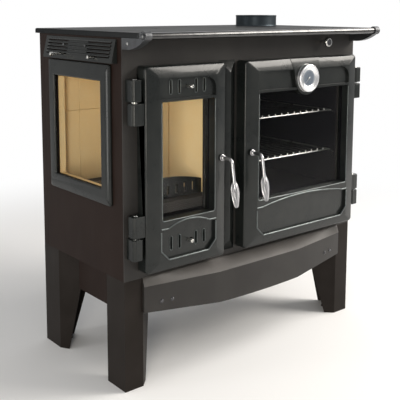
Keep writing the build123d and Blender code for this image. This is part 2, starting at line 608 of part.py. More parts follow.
GRILLE_SLOT_L = (GRILLE_L - GRILLE_PLAIN) / 2 - GRILLE_MARGIN
with BuildPart() as side_grille:
    with BuildSketch(Plane.XZ.offset(-(GRILLE_MID_Y + GRILLE_L / 2))):
        with BuildLine():
            Polyline((LEFT, GRILLE_Z[0]), (LEFT - GRILLE_OUT[0], GRILLE_Z[0]),
                     (LEFT - GRILLE_OUT[0], GRILLE_Z[0] + 4), (LEFT - GRILLE_OUT[1], GRILLE_TOP),
                     (LEFT, GRILLE_TOP), close=True)
        make_face()
    extrude(amount=GRILLE_L)
    offset(amount=-GRILLE_T, openings=side_grille.faces().filter_by(Axis.X).sort_by(Axis.X)[-1],
           kind=Kind.INTERSECTION)
    for row in range(GRILLE_SLOTS):
        slot_z = GRILLE_Z[0] + GRILLE_FIRST + row * GRILLE_PITCH
        for side in (-1, 1):
            middle = GRILLE_MID_Y + side * (GRILLE_PLAIN + GRILLE_SLOT_L) / 2
            block((LEFT - 2 * GRILLE_OUT[0], LEFT - 0.5), span(middle, GRILLE_SLOT_L),
                  (slot_z, slot_z + GRILLE_SLOT_H), Mode.SUBTRACT)
    for pull_y, pull_z in PULL_YZ:
        hole((LEFT - 2 * GRILLE_OUT[0], pull_y, pull_z), (LEFT, pull_y, pull_z), STEM_R + SEAT)
finish(side_grille, "side_grille")


def air_pull(place, out):
    """An air pull: knob outside, rod through grille and panel, valve disc inside."""
    y, z = place
    reach = PULL_OUT[1] - out
    with BuildPart() as pull:
        rod((LEFT - out + PULL_KNOB_L, y, z), (LEFT + 2 * SHEET + reach, y, z), STEM_R)
        rod((LEFT + 2 * SHEET + reach, y, z), (LEFT + 3 * SHEET + reach, y, z), PULL_DISC_R)
        rod((LEFT - out, y, z), (LEFT - out + PULL_KNOB_L, y, z), PULL_KNOB_R)
        chamfer(pull.faces().sort_by(Axis.X)[0].edges(), 2)
    return pull


for name, place, out in zip(("air_pull_front", "air_pull_rear"), PULL_YZ, PULL_OUT):
    finish(air_pull(place, out), name)

# ------------------------------------------------------------------ firebox
LINING_Z = (FLOOR_Z, LINING_TOP)
SLAB_Z = (FLOOR_Z - LINING_T, FLOOR_Z)
SLAB_X = (FIREBOX_LEFT, FIREBOX_R)
SLAB_Y = (INNER_FRONT, LINING_BACK)

with BuildPart() as left_lining:
    block((FIREBOX_LEFT, FIREBOX_LEFT + SIDE_LINING_T), (LINING_FRONT, LINING_BACK - LINING_T), LINING_Z)
    block((FIREBOX_LEFT - 1, FIREBOX_LEFT + SIDE_LINING_T + 1), span(WINDOW_Y, WINDOW_W + 2 * WINDOW_LAP),
          span(WINDOW_Z, WINDOW_H + 2 * WINDOW_LAP), Mode.SUBTRACT)
finish(left_lining, "left_lining")

BOARD_JOINTS_X = (FIREBOX_LEFT, FIREBOX_LEFT + REAR_BOARDS[0] * (FIREBOX_R - FIREBOX_LEFT), FIREBOX_R)
BOARD_JOINTS_Z = (FLOOR_Z, FLOOR_Z + REAR_BOARDS[1] * (LINING_TOP - FLOOR_Z), LINING_TOP)
with BuildPart() as rear_lining:
    for x0, x1 in zip(BOARD_JOINTS_X, BOARD_JOINTS_X[1:]):
        for z0, z1 in zip(BOARD_JOINTS_Z, BOARD_JOINTS_Z[1:]):
            block((x0 + SEAT / 2, x1 - SEAT / 2), (LINING_BACK - LINING_T, LINING_BACK), (z0, z1 - SEAT))
finish(rear_lining, "rear_lining")

with BuildPart() as right_lining:
    block((FIREBOX_R - LINING_T, FIREBOX_R), (LINING_FRONT, LINING_BACK - LINING_T), LINING_Z)
finish(right_lining, "right_lining")

with BuildPart() as firebox_floor:
    block(SLAB_X, SLAB_Y, SLAB_Z)
    block(span(FB_X, GRATE_W + 2 * SEAT), span(CY, GRATE_D + 2 * SEAT), (FLOOR_Z - GRATE_T, FLOOR_Z + 1),
          Mode.SUBTRACT)
    block(span(FB_X, GRATE_W - GRATE_T), span(CY, GRATE_D - GRATE_T), (SLAB_Z[0] - 1, FLOOR_Z), Mode.SUBTRACT)
finish(firebox_floor, "firebox_floor")

with BuildPart() as grate:
    block(span(FB_X, GRATE_W), span(CY, GRATE_D), (FLOOR_Z - GRATE_T, FLOOR_Z))
    with BuildSketch(Plane.XY.offset(FLOOR_Z)):
        with Locations((FB_X, CY)):
            with GridLocations(GRATE_W / (GRATE_BARS + 1), GRATE_D / 2 - GRATE_T, GRATE_BARS, 2):
                Rectangle(GRATE_SLOT, GRATE_D / 2 - 2 * GRATE_T)
    extrude(amount=-GRATE_T, mode=Mode.SUBTRACT)
finish(grate, "grate")

GUARD_W = FIREBOX_R - LINING_T - FIREBOX_LEFT - SIDE_LINING_T - 2 * SEAT
GUARD_X = FIREBOX_LEFT + SIDE_LINING_T + SEAT + GUARD_W / 2
with BuildPart() as log_guard:
    guard_y = INNER_FRONT + GUARD_FROM_PLATE
    with BuildSketch(facing(guard_y)):
        with BuildLine():
            Line((GUARD_X - GUARD_W / 2, FLOOR_Z), (GUARD_X + GUARD_W / 2, FLOOR_Z))
            Line((GUARD_X + GUARD_W / 2, FLOOR_Z), (GUARD_X + GUARD_W / 2, FLOOR_Z + GUARD_H * 0.7))
            ThreePointArc((GUARD_X + GUARD_W / 2, FLOOR_Z + GUARD_H * 0.7), (GUARD_X, FLOOR_Z + GUARD_H),
                          (GUARD_X - GUARD_W / 2, FLOOR_Z + GUARD_H * 0.7))
            Line((GUARD_X - GUARD_W / 2, FLOOR_Z + GUARD_H * 0.7), (GUARD_X - GUARD_W / 2, FLOOR_Z))
        make_face()
        with Locations((GUARD_X, FLOOR_Z + GUARD_H * 0.4)):
            with GridLocations(GUARD_W / 9, 1, 8, 1):
                Rectangle(GRATE_SLOT, GUARD_H * 0.42, mode=Mode.SUBTRACT)
    extrude(amount=GUARD_T)
finish(log_guard, "log_guard")

with BuildPart() as baffle_board:
    block(SLAB_X, (INNER_FRONT + 2 * LINING_T, LINING_BACK), (LINING_TOP, LINING_TOP + BAFFLE_T))
finish(baffle_board, "baffle_board")

ASH_FLOOR = FB_OPEN[1][0]
ASH_BOX_W = FB_OPEN_W
with BuildPart() as ash_box:
    outer_x = span(FB_X, ASH_BOX_W + 2 * THIN)
    ash_y = (INNER_FRONT, INNER_FRONT + ASH_D)
    block(outer_x, ash_y, (LEG_H + SHEET, SLAB_Z[0]))
    block(span(FB_X, ASH_BOX_W), (ash_y[0] - 1, ash_y[1] - THIN), (ASH_FLOOR, SLAB_Z[0] + 1), Mode.SUBTRACT)
    block(span(FB_X, ASH_BOX_W), (ash_y[0] - 1, ash_y[1] + 1), (LEG_H + SHEET - 1, ASH_FLOOR - THIN),
          Mode.SUBTRACT)
    flange_x = span(FB_X, ASH_BOX_W + 2 * THIN + 2 * ASH_FLANGE)
    for edge_x in ((flange_x[0], outer_x[0]), (outer_x[1], flange_x[1])):
        block(edge_x, ash_y, (SLAB_Z[0] - THIN, SLAB_Z[0]))
finish(ash_box, "ash_box")

PAN_Z = (ASH_FLOOR + SEAT, ASH_FLOOR + SEAT + ASH_H)
PAN_Y = (INNER_FRONT + THIN, INNER_FRONT + ASH_D - 2 * ASH_PLAY)
with BuildPart() as ash_pan:
    block(span(FB_X, ASH_W), PAN_Y, PAN_Z)
    offset(amount=-THIN, openings=ash_pan.faces().sort_by(Axis.Z)[-1], kind=Kind.INTERSECTION)
    with BuildSketch(facing(PAN_Y[0] + THIN)):
        with Locations((FB_X, PAN_Z[0] + ASH_H / 2)):
            SlotOverall(*PAN_GRIP)
    extrude(amount=THIN, mode=Mode.SUBTRACT)
finish(ash_pan, "ash_pan")

# ------------------------------------------------------------------ oven and smoke path
OVEN_W = OV_OPEN_W
OVEN_Y = (INNER_FRONT, INNER_FRONT + OVEN_D)
GUIDE_Y = (INNER_FRONT + THIN, OVEN_Y[1] - THIN)
with BuildPart() as oven_box:
    block(span(OV_X, OVEN_W + 2 * THIN), OVEN_Y, (OVEN_FLOOR - THIN, DOORWAY_TOP + THIN))
    block(span(OV_X, OVEN_W), (OVEN_Y[0] - 1, OVEN_Y[1] - THIN), OV_OPEN[1], Mode.SUBTRACT)
    for rack_z in RACK_Z:
        guide_z = (rack_z - RACK_R - SEAT - GUIDE_T, rack_z - RACK_R - SEAT)
        block((OV_OPEN[0][0], OV_OPEN[0][0] + GUIDE_W), GUIDE_Y, guide_z)
        block((OV_OPEN[0][1] - GUIDE_W, OV_OPEN[0][1]), GUIDE_Y, guide_z)
finish(oven_box, "oven_box")


def oven_rack(z):
    """A wire rack: side bars and cross bars, with thinner wires laid over them from front to back."""
    x0, x1 = OV_OPEN[0][0] + RACK_R + 1, OV_OPEN[0][1] - RACK_R - 1
    y0 = INNER_FRONT + RACK_FROM_PLATE
    with BuildPart() as rack:
        with BuildSketch(facing(y0 + RACK_D)):
            with Locations(((x0 + x1) / 2, z)):
                with GridLocations(x1 - x0, 1, 2, 1):
                    RegularPolygon(RACK_R, RACK_SIDES)
            with Locations(((x0 + x1) / 2, z + RACK_R)):
                with GridLocations((x1 - x0) / (RACK_WIRES + 1), 1, RACK_WIRES, 1):
                    RegularPolygon(RACK_WIRE_R, RACK_SIDES)
        extrude(amount=RACK_D)
        with BuildSketch(Plane.YZ.offset(x0)):
            with Locations((y0 + 2 * RACK_R, z), (y0 + RACK_D / 2, z), (y0 + RACK_D - 2 * RACK_R, z)):
                RegularPolygon(RACK_CROSS_R, RACK_SIDES)
        extrude(amount=x1 - x0)
    return rack


for name, rack_z in zip(("oven_rack_lower", "oven_rack_upper"), RACK_Z):
    finish(oven_rack(rack_z), name)

DIVIDER_X = (OV_X - OVEN_W / 2, RIGHT - SHEET)
HOLE_Y = FLUE_Y - DIVIDER_HOLE / 2
with BuildPart() as smoke_divider:
    block(DIVIDER_X, (INNER_FRONT, INNER_BACK), (DIVIDER_Z - THIN, DIVIDER_Z))
    block(span(DAMPER_ROD_X, DIVIDER_HOLE), span(HOLE_Y, DIVIDER_HOLE), (DIVIDER_Z - 5, DIVIDER_Z + 5),
          Mode.SUBTRACT)
    for edge_x in ((DIVIDER_X[0], DIVIDER_X[0] + THIN), (DIVIDER_X[1] - THIN, DIVIDER_X[1])):
        block(edge_x, (INNER_FRONT, INNER_BACK), (DIVIDER_Z - THIN - APRON_LIP, DIVIDER_Z))
finish(smoke_divider, "smoke_divider")

with BuildPart() as damper:
    lug_y = HOLE_Y - DAMPER_W / 2
    knob_y = FRONT - DAMPER_STEM
    rod((DAMPER_ROD_X, knob_y, DAMPER_Z), (DAMPER_ROD_X, lug_y + DAMPER_LUG, DAMPER_Z), DAMPER_ROD_R)
    rod((DAMPER_ROD_X, knob_y - DAMPER_KNOB_T, DAMPER_Z), (DAMPER_ROD_X, knob_y, DAMPER_Z), DAMPER_KNOB_R)
    chamfer(damper.faces().sort_by(Axis.Y)[0].edges(), 2)
    block(span(DAMPER_ROD_X, DAMPER_W), span(HOLE_Y, DAMPER_W), (DIVIDER_Z + SEAT, DIVIDER_Z + SEAT + THIN))
    block(span(DAMPER_ROD_X, 4 * DAMPER_ROD_R), (lug_y, lug_y + DAMPER_LUG),
          (DIVIDER_Z + SEAT, DAMPER_Z + 2 * DAMPER_ROD_R))
finish(damper, "damper")


# ------------------------------------------------------------------ doors
def hinge_x(door_x, door_w, side):
    """The hinge axis beside a door; side is -1 on the left and 1 on the right."""
    return door_x + side * (door_w / 2 + HINGE_OUT)


HINGE_Y = FRONT - HINGE_OUT
KNUCKLE_GAP = COLLAR_T / 2 + SEAT


def knuckle_spans(height):
    """Heights of the door's and of the bracket's knuckles, lower hinge first."""
    low, high = HINGE_Z
    door = ((low + KNUCKLE_GAP, low + height), (high - height, high - KNUCKLE_GAP))
    bracket = ((low - height, low - KNUCKLE_GAP), (high + KNUCKLE_GAP, high + height))
    return door, bracket


def cast_door(door_x, door_w, bevel, glass_w, rib_w, hinge_side, knuckle_h):
    """A cast door: bevelled slab, hollow back with a sealing rib, window, panels and knuckles."""
    shaft_x = door_x - hinge_side * (door_w / 2 - HANDLE_IN)
    axis_x = hinge_x(door_x, door_w, hinge_side)
    panel_half = glass_w / 2 + PANEL_SIDE
    with BuildPart() as door:
        with BuildSketch(facing(FRONT - DOOR_GAP)):
            with Locations((door_x, DOOR_Z)):
                RectangleRounded(door_w, DOOR_H, DOOR_CORNER)
        extrude(amount=DOOR_EDGE_T - DOOR_GAP)
        with BuildSketch(facing(FRONT - DOOR_EDGE_T)):
            with Locations((door_x, DOOR_Z)):
                RectangleRounded(door_w, DOOR_H, DOOR_CORNER)
        with BuildSketch(facing(FRONT - DOOR_FACE_T)):
            with Locations((door_x, DOOR_Z)):
                RectangleRounded(door_w - 2 * bevel, DOOR_H - 2 * BEVEL_TOP, DOOR_CORNER / 2)
        loft(ruled=True)
        # hollow back, then the sealing rib and the boss of the handle shaft
        block(span(door_x, door_w - 2 * DOOR_WALL), (FRONT - DOOR_FRONT_AT, FRONT),
              span(DOOR_Z, DOOR_H - 2 * DOOR_WALL), Mode.SUBTRACT)
        with BuildSketch(facing(FRONT - DOOR_GAP)):
            with Locations((door_x, DOOR_Z)):
                Rectangle(rib_w, RIB_H)
                Rectangle(rib_w - 2 * RIB_W, RIB_H - 2 * RIB_W, mode=Mode.SUBTRACT)
        extrude(amount=DOOR_FRONT_AT - DOOR_GAP)
        rod((shaft_x, FRONT - DOOR_GAP, HANDLE_Z), (shaft_x, FRONT - DOOR_FACE_T, HANDLE_Z), BOSS_R)
        hole((shaft_x, FRONT, HANDLE_Z), (shaft_x, FRONT - 2 * DOOR_FACE_T, HANDLE_Z), SHAFT_R + RUN)
        # window with a splayed reveal
        with BuildSketch(facing(FRONT - DOOR_FRONT_AT + 1)):
            with Locations((door_x, GLASS_Z)):
                Rectangle(glass_w - 2, GLASS_H - 2)
        with BuildSketch(facing(FRONT - DOOR_FACE_T)):
            with Locations((door_x, GLASS_Z)):
                Rectangle(glass_w + 6, GLASS_H + 6)
        loft(ruled=True, mode=Mode.SUBTRACT)
        # upper panel with rounded top corners, lower panel with arched top and clipped corners
        with BuildSketch(facing(FRONT - DOOR_FACE_T)) as panels:
            with Locations((door_x, sum(UPPER_PANEL) / 2)):
                Rectangle(2 * panel_half, UPPER_PANEL[1] - UPPER_PANEL[0])
            fillet(panels.vertices().group_by(Axis.Y)[-1], UPPER_ROUND)
        extrude(amount=-RECESS_DEPTH, mode=Mode.SUBTRACT)
        bottom, shoulder = LOWER_PANEL
        arch_half = panel_half - LOWER_CLIP
        with BuildSketch(facing(FRONT - DOOR_FACE_T)):
            with BuildLine():
                Polyline((door_x - arch_half, shoulder), (door_x - panel_half, shoulder),
                         (door_x - panel_half, bottom + LOWER_CLIP), (door_x - arch_half, bottom),
                         (door_x + arch_half, bottom), (door_x + panel_half, bottom + LOWER_CLIP),
                         (door_x + panel_half, shoulder), (door_x + arch_half, shoulder))
                ThreePointArc((door_x + arch_half, shoulder), (door_x, shoulder + LOWER_ARCH),
                              (door_x - arch_half, shoulder))
            make_face()
        extrude(amount=-RECESS_DEPTH, mode=Mode.SUBTRACT)
        # hinge knuckles on the door's side
        for z0, z1 in knuckle_spans(knuckle_h)[0]:
            arm = sorted((axis_x, axis_x - hinge_side * HINGE_OUT))
            rod((axis_x, HINGE_Y, z0), (axis_x, HINGE_Y, z1), KNUCKLE_R)
            block(arm, span(HINGE_Y, 2 * KNUCKLE_R - SEAT), (z0, z1))
            hole((axis_x, HINGE_Y, z0 - 1), (axis_x, HINGE_Y, z1 + 1), PIN_R + RUN)
    return door.part


def door_window(door_x, glass_w):
    """The door's glass, laid against the back of the front wall."""
    y = FRONT - DOOR_FRONT_AT
    with BuildPart() as glass:
        block(span(door_x, glass_w + 2 * GLASS_LAP), (y + SEAT, y + SEAT + GLASS_T),
              span(GLASS_Z, GLASS_H + 2 * GLASS_LAP))
    return glass


def glass_retainer(door_x, glass_w):
    """A flat frame that holds the glass from behind, with its screw heads."""
    y = FRONT - DOOR_FRONT_AT + 2 * SEAT + GLASS_T
    screws_w, screws_h = glass_w - 2 * RETAINER_SCREW_IN, GLASS_H + 2 * GLASS_LAP + RETAINER_END
    with BuildPart() as retainer:
        block(span(door_x, glass_w + 2 * GLASS_LAP + THIN), (y, y + RETAINER_T),
              span(GLASS_Z, GLASS_H + 2 * GLASS_LAP + 2 * RETAINER_END))
        block(span(door_x, glass_w - THIN), (y - 1, y + RETAINER_T + 1), span(GLASS_Z, GLASS_H - THIN),
              Mode.SUBTRACT)
        with BuildSketch(facing(y + RETAINER_T)):
            with Locations((door_x, GLASS_Z)):
                with GridLocations(screws_w, screws_h, 2, 2):
                    Circle(RETAINER_END / 2)
        extrude(amount=-RETAINER_T)
    return retainer


def door_gasket(door_x, rib_w):
    """The rope seal between the sealing rib and the front plate."""
    with BuildPart() as gasket:
        with BuildSketch(facing(FRONT - SEAT)):
            with Locations((door_x, DOOR_Z)):
                Rectangle(rib_w, RIB_H)
                Rectangle(rib_w - 2 * RIB_W, RIB_H - 2 * RIB_W, mode=Mode.SUBTRACT)
        extrude(amount=DOOR_GAP - SEAT)
    return gasket


SLIDER_ROWS = {"upper": sum(UPPER_PANEL) / 2 + 3, "lower": sum(LOWER_PANEL) / 2}


def slot_row(z):
    """Two pairs of upright air slots at height z, either side of the knob."""
    for offset_x in (-2, -1, 1, 2):
        with Locations((FB_X + offset_x * SLOT_PITCH, z)):
            SlotOverall(SLOT_H, SLOT_W, rotation=90)


with BuildPart() as firebox_door:
    add(cast_door(FB_X, FB_DOOR_W, FB_BEVEL, FB_GLASS_W, FB_RIB_W, -1, FB_KNUCKLE_H))
    with BuildSketch(facing(FRONT - DOOR_FRONT_AT + 1)):
        for row_z in SLIDER_ROWS.values():
            slot_row(row_z)
            with Locations((FB_X + SLIDER_TRAVEL / 2, row_z)):
                SlotOverall(SLIDER_TRAVEL + 2 * STEM_R + 2 * SEAT, 2 * STEM_R + 2 * SEAT)
    extrude(amount=2 * DOOR_FACE_T, mode=Mode.SUBTRACT)
finish(firebox_door, "firebox_door")
finish(door_window(FB_X, FB_GLASS_W), "firebox_door_glass")
finish(glass_retainer(FB_X, FB_GLASS_W), "firebox_glass_retainer")
finish(door_gasket(FB_X, FB_RIB_W), "firebox_door_gasket")

for row_name, row_z in SLIDER_ROWS.items():
    slider_y = FRONT - DOOR_FRONT_AT + SEAT
    recess_y = FRONT - DOOR_FACE_T + RECESS_DEPTH
    with BuildPart() as air_slider:
        with BuildSketch(facing(slider_y + SLIDER_T)):
            with Locations((FB_X, row_z)):
                Rectangle(SLIDER_W, SLIDER_H)
        extrude(amount=SLIDER_T)
        with BuildSketch(facing(slider_y + SLIDER_T)):
            slot_row(row_z)
        extrude(amount=SLIDER_T, mode=Mode.SUBTRACT)
        rod((FB_X, slider_y, row_z), (FB_X, recess_y - 1, row_z), STEM_R)
        rod((FB_X, recess_y - 1, row_z), (FB_X, recess_y - 1 - KNOB_L, row_z), KNOB_R)
        chamfer(air_slider.faces().sort_by(Axis.Y)[0].edges(), 1.5)
    finish(air_slider, f"{row_name}_air_slider")

BOSS_FACE = FRONT - DOOR_FACE_T - 2
with BuildPart() as oven_door:
    add(cast_door(OV_X, OV_DOOR_W, OV_BEVEL, OV_GLASS_W, OV_RIB_W, 1, OV_KNUCKLE_H))
    with BuildSketch(facing(FRONT - DOOR_FRONT_AT - 1)):
        with BuildLine():
            Polyline((OV_X + BOSS_DIAL_R, DIAL_Z - BOSS_NECK), (OV_X + BOSS_SHOULDER, DOOR_TOP - THIN),
                     (OV_X - BOSS_SHOULDER, DOOR_TOP - THIN), (OV_X - BOSS_DIAL_R, DIAL_Z - BOSS_NECK))
            ThreePointArc((OV_X - BOSS_DIAL_R, DIAL_Z - BOSS_NECK), (OV_X, DIAL_Z - BOSS_DROP),
                          (OV_X + BOSS_DIAL_R, DIAL_Z - BOSS_NECK))
        make_face()
    extrude(amount=FRONT - DOOR_FRONT_AT - 1 - BOSS_FACE)
finish(oven_door, "oven_door")
finish(door_window(OV_X, OV_GLASS_W), "oven_door_glass")
finish(glass_retainer(OV_X, OV_GLASS_W), "oven_glass_retainer")
finish(door_gasket(OV_X, OV_RIB_W), "oven_door_gasket")

with BuildPart() as thermometer_case:
    with BuildSketch(facing(BOSS_FACE)):
        with Locations((OV_X, DIAL_Z)):
            Circle(BEZEL_R)
    extrude(amount=BEZEL_OUT)
    chamfer(thermometer_case.faces().sort_by(Axis.Y)[0].edges(), 4)
    with BuildSketch(facing(BOSS_FACE - BEZEL_OUT)):
        with Locations((OV_X, DIAL_Z)):
            Circle(DIAL_R + 2)
    extrude(amount=-6, mode=Mode.SUBTRACT)
finish(thermometer_case, "thermometer_case")

DIAL_FACE = BOSS_FACE - BEZEL_OUT + 6
with BuildPart() as thermometer_dial:
    with BuildSketch(facing(DIAL_FACE)):
        with Locations((OV_X, DIAL_Z)):
            Circle(DIAL_R)
    extrude(amount=1)
finish(thermometer_dial, "thermometer_dial")

NEEDLE_REST = 135.0         # the needle points down to the left, at the cold end of its scale
with BuildPart() as thermometer_needle:
    with BuildSketch(facing(DIAL_FACE - 1 - SEAT)):
        with Locations(Location((OV_X, DIAL_Z, 0), (0, 0, 90 + NEEDLE_REST))):
            with Locations((DIAL_R * 0.3, 0)):
                Rectangle(DIAL_R * 1.1, 1.6)
            Circle(3)
    extrude(amount=1)
finish(thermometer_needle, "thermometer_needle")


# ------------------------------------------------------------------ handles
def on_grip_axis(shaft_x, drop):
    """The point of the leaning grip axis that lies this far below the handle axis."""
    return shaft_x, FRONT - HANDLE_REACH - HANDLE_LEAN * drop, HANDLE_Z - drop


def handle_rod(shaft_x):
    """Shaft through the door with its latch behind and the bent rod in front."""
    start_y = FRONT - DOOR_FACE_T - SEAT
    latch_y = INNER_FRONT + LATCH_BEHIND
    with BuildPart() as handle:
        rod((shaft_x, latch_y + LATCH_T, HANDLE_Z), (shaft_x, start_y, HANDLE_Z), SHAFT_R)
        rod((shaft_x, start_y, HANDLE_Z), (shaft_x, start_y - HUB_R, HANDLE_Z), HUB_R)
        with BuildSketch(facing(latch_y + LATCH_T)):
            with Locations((shaft_x, HANDLE_Z - LATCH_L / 2)):
                Rectangle(LATCH_W, LATCH_L)
        extrude(amount=LATCH_T)
        with BuildLine():
            bend = FilletPolyline((shaft_x, start_y - HUB_R / 2, HANDLE_Z),
                                  on_grip_axis(shaft_x, 0), on_grip_axis(shaft_x, GRIP_DROP[0]), radius=12)
        with BuildSketch(Plane(origin=bend @ 0, z_dir=bend % 0)):
            Circle(ROD_R)
        sweep()
    return handle


def handle_grip(shaft_x):
    """A twisted, spindle-shaped grip that ends in a small ball."""
    top, end = (Vector(*on_grip_axis(shaft_x, drop)) for drop in GRIP_DROP)
    along = end - top
    steps = len(GRIP_RADII) - 1
    with BuildPart() as grip:
        for step, radius in enumerate(GRIP_RADII):
            with BuildSketch(Plane(origin=top + along * (step / steps), x_dir=(1, 0, 0), z_dir=along)):
                RegularPolygon(radius, GRIP_SIDES, rotation=step * GRIP_TWIST)
        loft(ruled=True)
        with Locations(Location(end)):
            Sphere(FINIAL_R)
    return grip


for door_name, shaft_x in (("firebox", FB_SHAFT_X), ("oven", OV_SHAFT_X)):
    finish(handle_rod(shaft_x), f"{door_name}_handle_rod")
    finish(handle_grip(shaft_x), f"{door_name}_handle_grip")

# ------------------------------------------------------------------ hinges on the casing
HINGES = ((hinge_x(FB_X, FB_DOOR_W, -1), FB_KNUCKLE_H), (hinge_x(OV_X, OV_DOOR_W, 1), OV_KNUCKLE_H))

with BuildPart() as hinge_brackets:
    for axis_x, knuckle_h in HINGES:
        for z0, z1 in knuckle_spans(knuckle_h)[1]:
            rod((axis_x, HINGE_Y, z0), (axis_x, HINGE_Y, z1), KNUCKLE_R)
            block(span(axis_x, 2 * KNUCKLE_R - SEAT), (HINGE_Y, FRONT), (z0, z1))
            hole((axis_x, HINGE_Y, z0 - 1), (axis_x, HINGE_Y, z1 + 1), PIN_R + RUN)
finish(hinge_brackets, "hinge_brackets")

with BuildPart() as hinge_pins:
    for axis_x, knuckle_h in HINGES:
        for middle in HINGE_Z:
            rod((axis_x, HINGE_Y, middle - knuckle_h), (axis_x, HINGE_Y, middle + knuckle_h), PIN_R)
            rod((axis_x, HINGE_Y, middle - COLLAR_T / 2), (axis_x, HINGE_Y, middle + COLLAR_T / 2), COLLAR_R)
finish(hinge_pins, "hinge_pins")
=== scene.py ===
"""Looks of a free-standing wood cookstove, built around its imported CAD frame.

Lengths in this file are millimetres, measured from the middle of the casing at floor height, with
X to the right, Y to the back and Z up. The bench turns them into Blender's metres.
"""
from __future__ import annotations

import json
import logging
import math
from contextlib import contextmanager
from dataclasses import dataclass
from enum import Enum
from typing import Callable, Iterator, Sequence

import bmesh
import bpy
from mathutils import Matrix, Vector

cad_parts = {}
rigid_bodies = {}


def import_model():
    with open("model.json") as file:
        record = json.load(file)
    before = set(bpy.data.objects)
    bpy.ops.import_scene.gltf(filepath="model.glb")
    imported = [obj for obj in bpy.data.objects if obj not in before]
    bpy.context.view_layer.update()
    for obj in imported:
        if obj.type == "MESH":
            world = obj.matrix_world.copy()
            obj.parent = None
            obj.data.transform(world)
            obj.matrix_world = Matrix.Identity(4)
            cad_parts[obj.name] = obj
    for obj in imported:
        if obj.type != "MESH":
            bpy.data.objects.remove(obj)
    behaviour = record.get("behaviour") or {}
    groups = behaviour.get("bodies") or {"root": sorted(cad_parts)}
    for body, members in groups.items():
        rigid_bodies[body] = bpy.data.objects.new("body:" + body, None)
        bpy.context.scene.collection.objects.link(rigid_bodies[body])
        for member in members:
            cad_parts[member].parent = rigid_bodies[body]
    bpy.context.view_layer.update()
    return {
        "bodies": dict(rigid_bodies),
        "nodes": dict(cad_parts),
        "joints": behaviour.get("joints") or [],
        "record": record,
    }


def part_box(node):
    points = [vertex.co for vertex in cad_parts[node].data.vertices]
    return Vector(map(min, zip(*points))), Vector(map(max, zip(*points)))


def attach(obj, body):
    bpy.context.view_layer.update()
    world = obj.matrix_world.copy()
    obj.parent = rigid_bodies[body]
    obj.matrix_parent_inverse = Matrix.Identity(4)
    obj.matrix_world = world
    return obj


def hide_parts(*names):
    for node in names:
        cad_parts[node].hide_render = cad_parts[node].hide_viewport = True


log = logging.getLogger("cookstove")

Span = tuple[float, float]
Point = tuple[float, float, float]
Colour = tuple[float, float, float]

MM = 0.001

FRONT, LEFT = -193.0, -400.0            # the casing's front plate and left side
FIREBOX_X, OVEN_X = -241.5, 158.0       # middles of the two doors
DIAL_Z = 720.0                          # middle of the oven's thermometer
NEAR = 0.1                              # a point this close to a plane lies on it
UP, FORWARD = (0.0, 0.0, 1.0), (0.0, -1.0, 0.0)


class Side(Enum):
    """A side of the stove seen from the front, as the sign of X."""

    LEFT = -1
    RIGHT = 1


class Pick(Enum):
    """What is selected in edit mode."""

    POINTS = "VERT"
    EDGES = "EDGE"
    FACES = "FACE"


def dome(start: float, rise: float, radius: float, pieces: int = 16, last: int = 7) -> list[Span]:
    """The turned steps of a domed end.

    Args:
        start: distance along the axis at which the dome begins.
        rise: its height.
        radius: its foot's radius.
        pieces: arc steps in a half turn.
        last: number of steps; the dome ends flat after them.

    Returns:
        Pairs of distance along the axis and radius.
    """
    angles = [step * math.pi / pieces for step in range(1, last + 1)]
    return [(start + rise * math.sin(angle), radius * math.cos(angle)) for angle in angles]


# ---------------------------------------------------------------------------------- shader maths
class Signal:
    """An output of a shader node; arithmetic on it adds Math nodes."""

    def __init__(self, graph: "Nodes", socket: bpy.types.NodeSocket) -> None:
        """Wrap one socket.

        Args:
            graph: the node graph that owns the socket.
            socket: the output socket.
        """
        self.graph = graph
        self.socket = socket

    def _math(self, operation: str, first: "Signal | float", second: "Signal | float" = 0.0) -> "Signal":
        """Add one Math node and return its result."""
        return self.graph.add("ShaderNodeMath", {"operation": operation}, {0: first, 1: second})

    def __add__(self, other: "Signal | float") -> "Signal":
        """Sum."""
        return self._math("ADD", self, other)

    def __mul__(self, other: "Signal | float") -> "Signal":
        """Product."""
        return self._math("MULTIPLY", self, other)

    def __sub__(self, other: "Signal | float") -> "Signal":
        """Difference."""
        return self._math("SUBTRACT", self, other)

    def __rsub__(self, other: float) -> "Signal":
        """Difference from a number."""
        return self._math("SUBTRACT", other, self)

    def __truediv__(self, other: "Signal | float") -> "Signal":
        """Quotient."""
        return self._math("DIVIDE", self, other)

    def __pow__(self, other: float) -> "Signal":
        """Power."""
        return self._math("POWER", self, other)

    __radd__ = __add__
    __rmul__ = __mul__

    def highest(self, other: "Signal | float") -> "Signal":
        """The larger of two values."""
        return self._math("MAXIMUM", self, other)

    def wave(self) -> "Signal":
        """Sine of the value."""
        return self._math("SINE", self)

    def step(self, start: float, end: float) -> "Signal":
        """A smooth step.

        Args:
            start: value at which the step is 0.
            end: value at which it is 1; it may be below start.

        Returns:
            The step, between 0 and 1.
        """
        settings = {"interpolation_type": "SMOOTHSTEP"}
        return self.graph.add("ShaderNodeMapRange", settings, {0: self, 1: start, 2: end})


